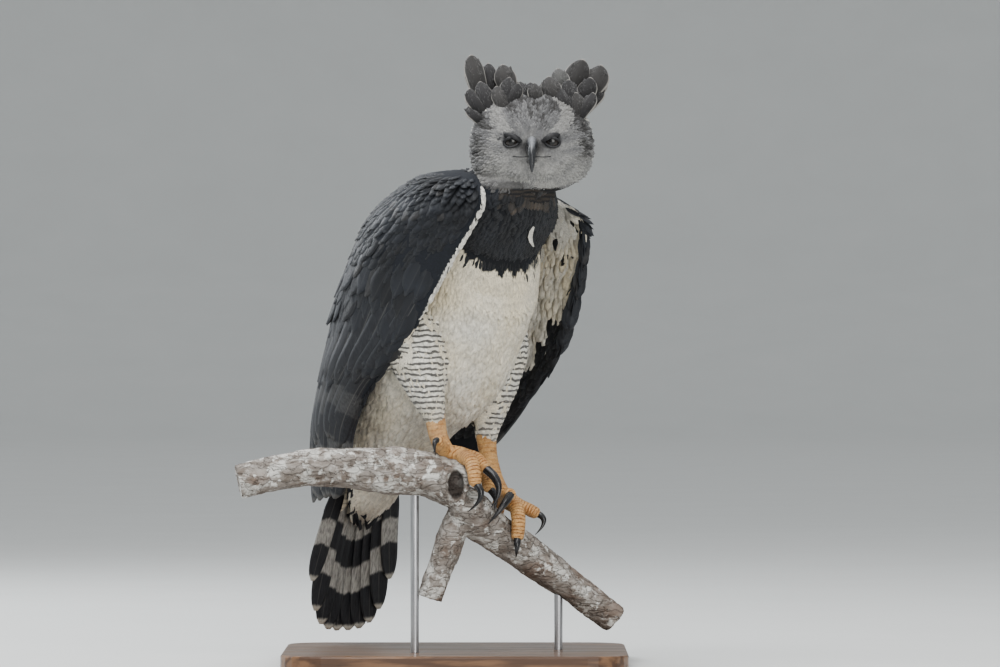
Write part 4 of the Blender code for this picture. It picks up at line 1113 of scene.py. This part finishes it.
def barkMaterial():
    graph = Graph("barkAndLichen")
    where = graph.place()
    grain = graph.noise(graph.stretch(where, (0.35, 1, 1)), 90, 6, 0.7)
    broad = graph.noise(where, 20, 4)
    lichen = graph.noise(where, 36, 5, 0.65)
    bend = graph.noise(where, 30, 4, output="Color")
    bent = graph.vector("MULTIPLY_ADD", bend, (0.030, 0.030, 0.030), where)
    crack = graph.cracks(graph.stretch(bent, (0.22, 1, 1)), 105)
    fleck = graph.noise(where, 260, 3)
    base = graph.mix(graph.ramp(grain, 0.3, 0.7), (0.15, 0.125, 0.105), (0.34, 0.315, 0.29))
    base = graph.mix(graph.ramp(broad, 0.50, 0.66) * 0.6, base, (0.16, 0.105, 0.075))
    base = graph.mix(graph.ramp(lichen, 0.50, 0.60) * 0.85, base, (0.56, 0.55, 0.52))
    base = graph.mix(graph.ramp(graph.noise(where, 64, 4), 0.60, 0.66) * 0.8, base, (0.68, 0.68, 0.65))
    deep = graph.ramp(crack, 0.06, 0.0) * graph.ramp(fleck, 0.4, 0.6) * 0.75
    base = graph.mix(deep, base, (0.045, 0.036, 0.030))
    base = graph.mix(graph.ramp(fleck, 0.66, 0.74) * 0.6, base, (0.06, 0.05, 0.045))
    # painted shade: darker inside the knot's hollow
    x, y, z = graph.apart(graph.vector("SUBTRACT", where, knot["at"]))
    x, z = x * (1 / knot["half"][0]), z * (1 / knot["half"][1])
    hollowShade = graph.ramp(graph.reach(x, z), 1.0, 0.78) * graph.ramp(y, 0.034, 0.030)
    base = graph.mix(hollowShade * 0.85, base, (0.035, 0.026, 0.022))
    height = grain + graph.ramp(crack, 0.0, 0.10) * 0.7 + lichen * 0.5 + fleck * 0.3
    return graph.finish(base, 0.88, height, 0.0022, 0.9)


def boardMaterial():
    graph = Graph("varnishedBoard")
    where = graph.place()
    warp = graph.noise(graph.stretch(where, (1.2, 9, 9)), 3, 4)
    rings = graph.sine(graph.apart(where)[1] * 210 + warp * 26)
    pores = graph.noise(graph.stretch(where, (14, 420, 420)), 1, 3)
    base = graph.mix(graph.ramp(rings, -1, 1), (0.085, 0.042, 0.022), (0.19, 0.102, 0.052))
    base = graph.mix(graph.ramp(pores, 0.62, 0.74) * 0.7, base, (0.030, 0.016, 0.010))
    return graph.finish(base, graph.ramp(warp, 0.3, 0.7, 0.30, 0.42), rings * 0.2 + pores, 0.0002, 0.3,
                        Coat_Weight=0.35)


def rodMaterial():
    graph = Graph("brushedRod")
    lines = graph.noise(graph.stretch(graph.place(), (900, 900, 12)), 1, 3)
    base = graph.mix(graph.ramp(lines, 0.3, 0.7), (0.34, 0.34, 0.35), (0.52, 0.52, 0.53))
    return graph.finish(base, graph.ramp(lines, 0.3, 0.7, 0.26, 0.42), lines, 0.0001, 0.3, Metallic=1.0)


def floorMaterial():
    graph = Graph("studioFloor")
    fine = graph.noise(graph.place(), 3, 3)
    return graph.finish(graph.mix(fine, (0.60, 0.61, 0.60), (0.64, 0.65, 0.64)), 0.9)


# Stage, camera and lamps
def makeStage():
    shape = bmesh.new()
    profile = ((0.001, 0), (8, 0), (22, 0), (25, 0.8), (27.5, 3), (29, 7), (29.5, 14))
    points = [shape.verts.new((across, 0, up)) for across, up in profile]
    edges = [shape.edges.new(pair) for pair in zip(points, points[1:])]
    bmesh.ops.spin(shape, geom=points + edges, cent=(0, 0, 0), axis=(0, 0, 1), angle=math.tau, steps=64,
                   use_duplicate=False)
    bmesh.ops.remove_doubles(shape, verts=shape.verts[:], dist=0.0005)
    floor = piece("studioFloor", [shape], floorMaterial(), None)
    for name, (place, aim, size, watts, tint) in lamps.items():
        lamp = bpy.data.lights.new(name, "AREA")
        lamp.size, lamp.energy, lamp.color = size, watts, tint
        made = addObject(name, lamp)
        made.location = place
        made.rotation_euler = (Vector(aim) - Vector(place)).to_track_quat("-Z", "Y").to_euler()
    lens = bpy.data.cameras.new("photoView")
    lens.lens, lens.sensor_width, lens.clip_end = view["lens"], 36.0, 200.0
    made = addObject("photoView", lens)
    made.location = view["place"]
    made.rotation_euler = (math.radians(90), 0, 0)
    bpy.context.scene.camera = made
    sky = bpy.data.worlds.new("paleSky")
    sky.use_nodes = True
    sockets = sky.node_tree.nodes["Background"].inputs
    sockets["Color"].default_value = (*world["colour"], 1)
    sockets["Strength"].default_value = world["strength"]
    bpy.context.scene.world = sky
    bpy.context.scene.view_settings.view_transform = "AgX"
    bpy.context.scene.view_settings.look = "AgX - Medium High Contrast"
    print("stage, camera and lamps")


def makeSkin():
    plan = skinPlan
    shapes = [tube(bodyKeys(rows), leftwards, grow=-plan[name]) for name, rows in body.items()]
    shapes.append(headShape(-plan["head"]))
    shapes += [tube(limbKeys(rows), leftwards, grow=-plan["thigh"]) for rows in thighs.values()]
    shapes += [wingShape(rows) for rows in wings.values()]
    shapes += faceForms()
    skin = piece("skin", shapes, None, "plumage_white",
                 ("torso", "neck", "head", "tail", "thigh_left", "thigh_right", "wing_left", "wing_right"))
    remesh(skin, plan["voxel"], plan["smooth"])
    skin.data.materials.clear()
    skin.data.materials.append(skinMaterial())
    shades = []
    for v in skin.data.vertices:
        shades += regionTone(v.co, v.normal)
    skin.data.attributes.new("tone", "FLOAT_VECTOR", "POINT").data.foreach_set("vector", shades)
    print(f"skin: {len(skin.data.polygons)} faces")
    return skin


def faceForms():
    return [ball(radius, onHead(at, sign), scale) for sign in (-1, 1) for at, radius, scale in faceParts]


def bodyCoat(tree, found):
    neck = bodyKeys(body["neck"])

    def onNeck(place, turn):    # from the head down, as the torso's rows go
        return tubePoint(neck, leftwards, len(neck) - 1 - place, turn)

    def look(point, normal):
        tone = regionTone(point, normal)
        return tone, (0.25 if sum(tone) < 0.3 else 0.05, 0.0, 0.0)

    def lookNeck(point, normal):
        tone = neckTone(point, normal) if point.z > 0.645 else torsoTone(point, normal)
        return tone, (0.25, 0.0, 0.0)

    def clear(point, normal):
        local = point - pose["head"]
        kind = belongs(point - normal * 0.002)
        behind = (point - pose["at"]).dot(forwards) < -0.04 and normal.dot(forwards) < 0.1
        own = kind in ("torso", "neck", "head") or (kind == "outer" and behind)
        return own and (local.length > 0.10 or local.z < -0.06) and not onThigh(point, 1.25)

    def frayed(point, normal):
        return clear(point, normal) and point.z > 0.590 + 0.014 * wobble(point, 120)

    rowsOf(onTube(bodyKeys(body["torso"])), coats["torso"], look, tree, found["torso"], clear,
           size=lambda place: 0.58 + 0.6 * clamp((place - 2.5) / 4.5))
    rowsOf(onNeck, coats["neck"], lookNeck, tree, found["neck"], frayed)


def headCoat(tree, found):
    # rings of tufts that point away from the bill
    plan = coats["head"]
    last = len(face["rings"]) - 1
    beak = onHead((0, -0.062, -0.004))

    def look(point, normal):
        return headTone(point, normal), (0.12, 0.0, 0.0)

    place, row = plan["rows"][0], 0
    while place < plan["rows"][1]:
        ahead = headPoint(place + smallStep, 1.0) - headPoint(place - smallStep, 1.0)
        ahead = ahead.length / (2 * smallStep)
        around = math.tau * blendRows(face["rings"], place)[1] * 0.082
        scale = 0.62 + 0.10 * place if place < 4 else 1.0 + 0.14 * (place - 4)
        count = max(int(around / (plan["across"] * scale)), 6)
        for i in range(count):
            turn = math.tau * (i + 0.5 * (row % 2) + rng.uniform(-0.3, 0.3)) / count
            point = headPoint(place + rng.uniform(-0.2, 0.2) * plan["down"] / ahead, turn)
            hit, normal, _, distance = tree.find_nearest(point)
            local = hit - pose["head"]
            if distance > plan["away"] or local.z < -0.0575 or besideHead(local) or tooNearFace(local):
                continue
            if belongs(hit - normal * 0.002) in ("outer", "lining"):
                continue
            down = headPoint(place + smallStep, turn) - headPoint(place - smallStep, turn)
            down = down.normalized() + (hit - beak).normalized() * 0.5
            if place > 4:
                down = down + Vector((0, 0, -0.6))
            under = local.z < -0.044 and normal.z < -0.35
            addFeather(found, plan, hit, normal, down, scale * (0.45 if under else 1), look,
                       rootAt(turn / math.tau % 1, place / last), lean=0.22)
        place += plan["down"] * scale / max(ahead, 0.004)
        row += 1


def tooNearFace(local):
    # on the bill or an eye
    if local.y > -0.03:
        return False
    if abs(local.x) < 0.0105 and -0.026 < local.z < 0.014:
        return True
    for sign in (-1, 1):
        if math.hypot((local.x - sign * eye["spread"]) / 0.0115, (local.z - eye["up"]) / 0.0085) < 1:
            return True
    return False


def thighCoat(tree, found):
    for side, rows in thighs.items():
        def look(point, normal):
            tone = mixed("white", "cream", 0.2 + 0.4 * wobble(point, 30))
            low = ((0.40 if side == "right" else 0.37) - point.z) / 0.05
            return tone, (0.0, 0.85 - 0.25 * clamp(low), 0.0)

        rowsOf(onTube(limbKeys(rows)), coats["thigh"], look, tree, found["thigh_" + side],
               size=lambda place: 1.12 - 0.07 * place, slotOf=lambda tone: "barred_leg")


def tailCoat(tree, found):
    def look(point, normal):
        if normal.dot(forwards) < 0.05:
            return mixed("slate", "coal", 0.4 + wobble(point, 30)), (0.5, 0.0, 0.0)
        return mixed("white", "cream", 0.5 + wobble(point, 30)), (0.0, 0.35, 0.0)

    def middle(point, normal):
        return abs((point - pose["at"]).dot(leftwards)) < 0.040 and abs(normal.z) < 0.55

    rowsOf(onTube(bodyKeys(body["tail"])), coats["rump"], look, tree, found, middle)


def wingCoat(side, tree, found):
    rows = wings[side]
    plan = wingPlan[side]
    ridge = [wingPoint(rows, k / 8, math.pi) for k in range(32)]

    def form(place, turn):
        return wingPoint(rows, clamp(place, 0.02, len(rows) - 1.02), turn)

    def outer(point, normal):
        tone = mixed("slate", "coal", 0.35 + wobble(point, 30) + 0.5 * wobble(point, 150, 2))
        if rng.random() < 0.05:
            tone = mixed(tone, "dusk", 0.6)
        return tone, (0.08 + 0.20 * max(0, wobble(point, 45, 7)), 0.0, 0.0)

    def edge(point, normal):
        whole = side == "right" or point.z > 0.66
        white = whole and rng.random() < plan["edge"]["white"]
        return tones["white" if white else "coal"], (0.0, 0.0, 0.0)

    def inner(point, normal):
        spots = wobble(point, 60, 9) + 0.5 * wobble(point, 160)
        tone = mixed("white", "cream", 0.35 + 1.2 * wobble(point, 26))
        low = max(plan["darkBelow"] + plan["darkSlope"] * (point.x - 0.094), 0.40)
        if point.z < low + 0.016 * wobble(point, 45) or spots > (0.62 if point.z < 0.60 else 0.44):
            tone = mixed("coal", "slate", rng.random())
        return tone, (0.25, 0.0, 0.0)

    def belowRidge(point, normal):    # so that none stands up from the shoulder's ridge
        return min((point - spot).length for spot in ridge) > 0.016

    def lay(ending, look, keep=None, size=None):
        key = wingParts[ending]
        own = {**coats[key], **plan.get(key, {})}
        rowsOf(form, own, look, tree, found[f"wing_{side}{ending}"], keep, size)

    lay("", outer, belowRidge, lambda place: 0.66 + 0.09 * place)
    lay("_middle", outer)
    lay("_edge", edge, size=lambda place: plan["edge"]["size"])
    lay("_inner", inner, onLining, lambda place: min(0.60 + 0.12 * place, 1.1))


def quill(shape, points, width, lies, tone, rim, root, **others):
    last = len(points) - 1
    widths = [width * taper(k / last) for k in range(last + 1)]
    longFeather(shape, points, widths, lies, {"tone": tone, "rim": rim, "root": root}, **others)


def wingQuills(side, shape):
    rows = wings[side]
    last = len(rows) - 1
    small = 0.05    # how far to either side the wing is measured
    for n, tier in enumerate(quills["tiers"]):
        for i in range(tier["count"]):
            share = (i + 0.5 * (n % 2)) / tier["count"]
            turn = quills["turns"][0] + (quills["turns"][1] - quills["turns"][0]) * share
            reach = tier["reach"] * (1.02 + 0.07 * math.sin(2.3 * i + n))
            points, lies = [], []
            for k in range(quills["stations"] + 1):
                part = k / quills["stations"]
                far = tier["start"] + reach * part
                place = min(far, last - small)
                there = turn + quills["drift"] * part
                point = wingPoint(rows, place, there)
                down = wingPoint(rows, place + small, there) - wingPoint(rows, place - small, there)
                across = wingPoint(rows, place, there + small) - wingPoint(rows, place, there - small)
                out = down.cross(across).normalized()
                if out.dot(point - wingPoint(rows, place, -there)) < 0:
                    out = -out
                point += down * max(far - place, 0) / (2 * small)
                points.append(point + out * (tier["stand"] * part - 0.001))
                lies.append(across.normalized() + out * quills["roll"])
            quill(shape, points, tier["width"], lies, varied(tones["slate"], 0.1), (0.35, tier["bars"], 0.0),
                  rootAt(share, tier["start"] / last))


def taper(part):
    # a long feather's width along it: narrower at the root, round at the tip
    return min(1.0, 0.62 + 1.3 * part) * math.sqrt(max(1 - max(part - 0.72, 0) ** 2 / 0.0812, 0.02))


def tailQuills(shape):
    steps = 22
    keys = quills["tailLine"]
    for sign in (-1, 1):
        for n, (root, tip, low, width) in enumerate(reversed(quills["tail"])):
            back = quills["step"] * (2 * n + (sign > 0))
            share = (keys[0][1] - low) / (keys[0][1] - keys[-1][1])
            points = []
            for k in range(steps + 1):
                part = k / steps
                ahead, up = blendRows(keys, 2 * part * share)
                points.append(bird(sign * (root + (tip - root) * part), ahead + back, up))
            quill(shape, points, width, [leftwards + forwards * 0.02 * sign] * (steps + 1), tones["coal"],
                  (0.10, 1.0, 0.0), (0.5 + sign * root * 8, 0.3 + 0.05 * n), cup=0.03)


def makeCrest(shape, found, tree):
    steps = 18
    for n, (root, tip, width, tone) in enumerate(crest):
        low = tip[2] < 0.104    # one of the short front lobes
        for layer in range(1 if low else 2):
            start, end = onHead(root), onHead(tip)
            start += Vector((0, 0.014 * layer, -0.004))
            end += Vector((0.004 * math.sin(3.1 * n), 0.012, -0.008)) * layer
            hit = tree.ray_cast(Vector((start.x, -1, start.z)), Vector((0, 1, 0)))[0]
            if hit and low:    # the low lobes lie over the edge of the face
                shift = clamp(hit.y + 0.005 - start.y, -0.04, 0)
                start, end = start + Vector((0, shift, 0)), end + Vector((0, shift * 0.8, 0))
            points, widths, lies = [], [], []
            for k in range(steps + 1):
                part = 1 - (1 - k / steps) ** 1.5
                bow = Vector((0, -0.005 * math.sin(math.pi * part) + 0.004 * part ** 3, 0))
                points.append(start.lerp(end, part) + bow)
                tipped = math.sqrt(max(1 - max(part - 0.62, 0) ** 2 / 0.1475, 0.03))
                widths.append(width * (0.92 + 0.30 * part) * tipped)
                lies.append(Vector((1, 0.20 * math.sin(5.0 * n), 0)))
            look = {"tone": varied(tones["dusk" if layer else tone], 0.2), "rim": (0.70, 0.0, 0.0),
                    "root": (0.02 + 0.03 * n, 0.5 + 0.2 * layer)}
            longFeather(shape, points, widths, lies, look, across=12, thick=0.0016, cup=0.30)
            crestDown(found, points, widths, lies, look)


def crestDown(found, points, widths, lies, look):
    # soft barbs over both faces of a lobe, fanned out to its edge
    plan = coats["crest"]
    kept = found.setdefault("plumage_grey", [])
    for _ in range(int(plan["perMetre"] * max(widths))):
        part, u = rng.uniform(0.05, 0.70), rng.uniform(-0.70, 0.70)
        spot = part * (len(points) - 1)
        first = min(int(spot), len(points) - 2)
        point = points[first].lerp(points[first + 1], spot - first)
        width = between(widths, spot)
        along = (points[first + 1] - points[first]).normalized()
        broad = (lies[first] - lies[first].dot(along) * along).normalized()
        face = broad.cross(along).normalized()
        side = rng.choice((-1, 1))
        down = (along + broad * u * 0.35).normalized()
        hit = point + broad * u * width * 0.46 + face * (side * 0.0004 - 0.30 * width * u * u)
        lift = math.radians(plan["lift"] * rng.uniform(0.4, 1.6))
        lying = down * math.cos(lift) + face * side * math.sin(lift)
        up = face * side * math.cos(lift) - down * math.sin(lift)
        by = rng.uniform(0.75, 1.2)
        kept.append((hit, lying, up, plan["width"] * by, plan["length"] * by,
                     varied(look["tone"], 0.12), (0.0, 0.0, 0.0), look["root"]))


def breastFleck(shape, tree):
    # the one white feather that curls out of the dark breast
    points = []
    for share in (0, 0.25, 0.5, 0.75, 1):
        x = fleck["x"] - fleck["bow"] * math.sin(math.pi * share)
        z = fleck["top"] + (fleck["bottom"] - fleck["top"]) * share
        hit = tree.ray_cast(Vector((x, -1, z)), Vector((0, 1, 0)))[0]
        points.append(hit + Vector((0, -0.009, 0)))
    widths = [fleck["width"] * share for share in (0.4, 0.9, 1.0, 0.8, 0.3)]
    look = {"tone": tones["white"], "rim": (0.0, 0.0, 0.0), "root": (0.5, 0.5)}
    longFeather(shape, points, widths, [Vector((1, 0, 0))] * 5, look, thick=0.0010, cup=0.2)


def makeFeathers(skin):
    tree = treeOf(skin)
    names = ("torso", "neck", "head", "rump", "thigh_right", "thigh_left", "crest")
    regions = {name: name.split("_")[0] for name in names}
    for side in wings:
        regions.update({f"wing_{side}{ending}": key for ending, key in wingParts.items()})
    found = {name: {} for name in regions}
    bodyCoat(tree, found)
    headCoat(tree, found["head"])
    thighCoat(tree, found)
    tailCoat(tree, found["rump"])
    for side in wings:
        wingCoat(side, tree, found)
    finishes = {
        "plumage_white": featherMaterial("creamFeathers", 0.78, 0.25, (0.80, 0.78, 0.72)),
        "plumage_grey": featherMaterial("greyFeathers", 0.78, 0.25, (0.72, 0.71, 0.69)),
        "plumage_black": featherMaterial("slateFeathers", 0.52, 0.05, (0.10, 0.105, 0.115), 0.05),
        "barred_leg": featherMaterial("barredFeathers", 0.78, 0.25, (0.78, 0.76, 0.70)),
    }
    crestShape = featherShape()
    makeCrest(crestShape, found["crest"], tree)
    templates = {}
    for region, bySlot in found.items():
        kind = coats[regions[region]]["shape"]
        for slot, feathers in bySlot.items():
            if (kind, slot) not in templates:
                templates[kind, slot] = vaneShape(f"vane_{kind}_{slot}", shapes[kind], finishes[slot])
            coat(f"coat_{region}_{slot.split('_')[-1]}", feathers, templates[kind, slot], slot)
    bands = bandedMaterial("bandedQuills")
    for side in wings:
        shape = featherShape()
        wingQuills(side, shape)
        keepPiece("quills_" + side, shape, bands, "plumage_black")
    shape = featherShape()
    tailQuills(shape)
    keepPiece("quills_tail", shape, bands, "plumage_black")
    soft = featherMaterial("crestFeathers", 0.80, 0.15, (0.42, 0.40, 0.37), 0.0, (0.445, 0.955))
    keepPiece("crest", crestShape, soft, "plumage_grey")
    shape = featherShape()
    breastFleck(shape, tree)
    keepPiece("breast_fleck", shape, finishes["plumage_white"], "plumage_white")
    print("quills and crest")


def billRidge(place, turn):
    return 0.05 * math.cos(turn * 2) ** 8 * math.sin(turn) ** 2


def lidShape(sign, middle):
    # a soft rim of skin round the eye, lying on the ball
    rings = []
    for i in range(lidPlan["sides"]):
        turn = math.tau * i / lidPlan["sides"]
        across, up = math.cos(turn) * lidPlan["wide"], math.sin(turn)
        tall = lidPlan["top"] if up > 0 else lidPlan["bottom"]
        at = Vector((across, 0, up * tall - sign * across * lidPlan["slant"]))
        depth = -math.sqrt(max(eye["radius"] ** 2 - at.x ** 2 - at.z ** 2, 1e-6))
        out = at.normalized()
        thick = lidPlan["thick"] * (1.35 if up > 0.2 else 1.0)
        ring = []
        for j in range(12):
            lean = math.tau * j / 12
            ring.append(middle + at + Vector((0, depth, 0)) + out * (math.cos(lean) * thick * 1.5 + thick)
                        + Vector((0, math.sin(lean) * thick, 0)))
        rings.append(ring)
    shape = bmesh.new()
    loft(shape, rings, closed=True)
    return shape


def makeHeadPieces():
    horn = hornMaterial("billHorn", (0.020, 0.021, 0.023), (0.050, 0.052, 0.056), 0.85)
    across = Vector((1, 0, 0))
    for name, ripple in (("upper", billRidge), ("lower", None)):
        keys = [(*onHead((0, out, up)), wide, deep) for out, up, wide, deep in bill[name]]
        piece(f"bill_{name}_horn", [tube(keys, across, 32, 8, ripple=ripple)], horn, "bill_horn",
              ("bill_" + name,))
    lid = hornMaterial("lidSkin", (0.016, 0.016, 0.018), (0.036, 0.036, 0.038), 0.05, 0.45, 0.0)
    lines = []
    for sign in (-1, 1):
        lines.append(tube([(*onHead(at, sign), at[3]) for at in gape], skyward, 10, 8))
        lines.append(tube([(*onHead(at, sign), at[3] * browStretch, at[3]) for at in brow], skyward, 14, 10))
    piece("brow_and_gape", lines, lid, "bill_horn")
    for side, sign in (("right", -1), ("left", 1)):
        middle = onHead((eye["spread"], eye["depth"], eye["up"]), sign)
        piece("eyeball_" + side, [ball(eye["radius"] * 0.97, middle, sides=40)], eyeMaterial(middle), "eye",
              ("eye_" + side,))
        piece("lid_" + side, [lidShape(sign, middle)], lid, "bill_horn")
    print("bill, eyes and lids")


def toePads(place, turn):
    # soft swellings under a toe, one between each two keys
    return footPlan["pads"] * max(-math.cos(turn), 0) * math.sin(place * math.pi) ** 2


def moveAll(mesh, moves):
    for v, move in zip(mesh.vertices, moves):
        v.co += move


def addScutes(foot, axes):
    # raised plates across each toe; how near a point is to the middle of its plate is kept for the colours
    spots = []
    for keys, up, pitch, weight in axes:
        gone, last = 0.0, Vector(keys[0][:3]) * 1.001 - Vector(keys[1][:3]) * 0.001
        for n in range(40 * (len(keys) - 1) + 1):
            at = Vector(blendRows(keys, n / 40)[:3])
            gone += (at - last).length
            spots.append((at, (at - last).normalized(), gone, up.normalized(), pitch, weight))
            last = at
    near = nearestOf([spot[0] for spot in spots])
    mesh = foot.data
    moves, plates = [], []
    for v in mesh.vertices:
        at, along, gone, up, pitch, weight = spots[near.find(v.co)[1]]
        part = ((gone + (v.co - at).dot(along)) / pitch + footPlan["uneven"] * wobble(v.co, 110)) % 1
        top = clamp(v.normal.dot(up) * 1.5 + 0.55) * weight
        plate = 1 - (2 * part - 1) ** 6
        moves.append(v.normal * (footPlan["rise"] * plate * top))
        plates.append(1 - top * (1 - plate))
    moveAll(mesh, moves)
    mesh.attributes.new("plate", "FLOAT", "POINT").data.foreach_set("value", plates)


def makeFeet():
    skin = footMaterial()
    claw = hornMaterial("clawHorn", (0.008, 0.008, 0.009), (0.026, 0.025, 0.026), 0.12)
    names = ("inner", "middle", "outer", "hind")
    for side, plan in feet.items():
        shapes = [tube(plan["hub"], toeUp, 30, 12)]
        axes = []
        for name in names:
            keys = plan[name][0]
            shapes.append(tube(keys, toeUp, footPlan["sides"], footPlan["steps"], ripple=toePads))
            end, before = Vector(keys[-1][:3]), Vector(keys[-2][:3])
            radius = keys[-1][3] * footPlan["toeEnd"]
            shapes.append(ball(radius, end - (end - before).normalized() * radius * 0.35))
            axes.append((keys, toeUp, footPlan["toePitch"], 1.0))
        shank = limbKeys(shanks[side])
        shapes.append(tube(shank, toeUp, footPlan["sides"], footPlan["steps"]))
        axes.append((shank, Vector((0.2, -1, 0.1)), footPlan["shankPitch"], 0.45))
        foot = piece("foot_skin_" + side, shapes, skin, "leg_skin", ("foot_" + side, "shank_" + side))
        remesh(foot, footPlan["voxel"], footPlan["smooth"])
        addScutes(foot, axes)
        claws = []
        for name in names:
            base, bend, tip, radius = plan[name][1]
            base, bend, tip = Vector(base), Vector(bend), Vector(tip)
            pull, keys = bend * 2 - (base + tip) / 2, []
            for i, share in enumerate(footPlan["clawTaper"]):
                part = i / (len(footPlan["clawTaper"]) - 1)
                keys.append((*base.lerp(pull, part).lerp(pull.lerp(tip, part), part), radius * share))
            claws.append(tube(keys, toeUp, 24, 8))
        piece("claws_" + side, claws, claw, "claw_horn", [f"claw_{side}_{name}" for name in names])
    print("feet and claws")


def makeBranch():
    shapes = []
    for seed, rows in enumerate(branch.values()):
        def ripple(place, turn, seed=seed):
            return (0.035 * math.sin(3 * turn + 2.1 * place + seed)
                    + 0.025 * math.sin(5 * turn - 3.7 * place + 2 * seed)
                    + 0.020 * math.sin(4.3 * place + seed))
        shapes.append(tube(rows, skyward, barkPlan["sides"], barkPlan["steps"], ripple=ripple))
    bark = piece("bark", shapes, barkMaterial(), "bark", ("branch_left", "branch_right", "branch_stub"))
    remesh(bark, barkPlan["voxel"], barkPlan["smooth"])
    moves = []
    for v in bark.data.vertices:
        at = v.co
        lump = barkPlan["lump"] * (wobble(at, 45) + 0.5 * wobble(at, 120, 2))
        lump -= barkPlan["ridge"] * abs(wobble(Vector((at.x * 0.4, at.y, at.z)), 210, 6)) * 2
        step = v.normal * (lump - 0.0008)
        off = at - knot["at"]
        if v.normal.y < 0.3 and abs(off.y) < 0.03:
            share = math.hypot(off.x / knot["half"][0], off.z / knot["half"][1])
            if share < 1.05:
                step = step + Vector((0, knot["deep"] * clamp((1.05 - share) * 3), 0))
            elif share < 1.7:
                step = step - Vector((0, knot["rim"] * math.sin((share - 1.05) / 0.65 * math.pi), 0))
        moves.append(step)
    moveAll(bark.data, moves)
    print(f"bark: {len(bark.data.polygons)} faces")


def finishStand():
    finishes = {"stand_base": boardMaterial(), "stand_rod_left": rodMaterial(),
                "stand_rod_right": rodMaterial()}
    for name, finish in finishes.items():
        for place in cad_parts[name].material_slots:
            place.material = finish
    print("stand")


makeStage()
skin = makeSkin()
makeFeathers(skin)
makeHeadPieces()
makeFeet()
makeBranch()
finishStand()
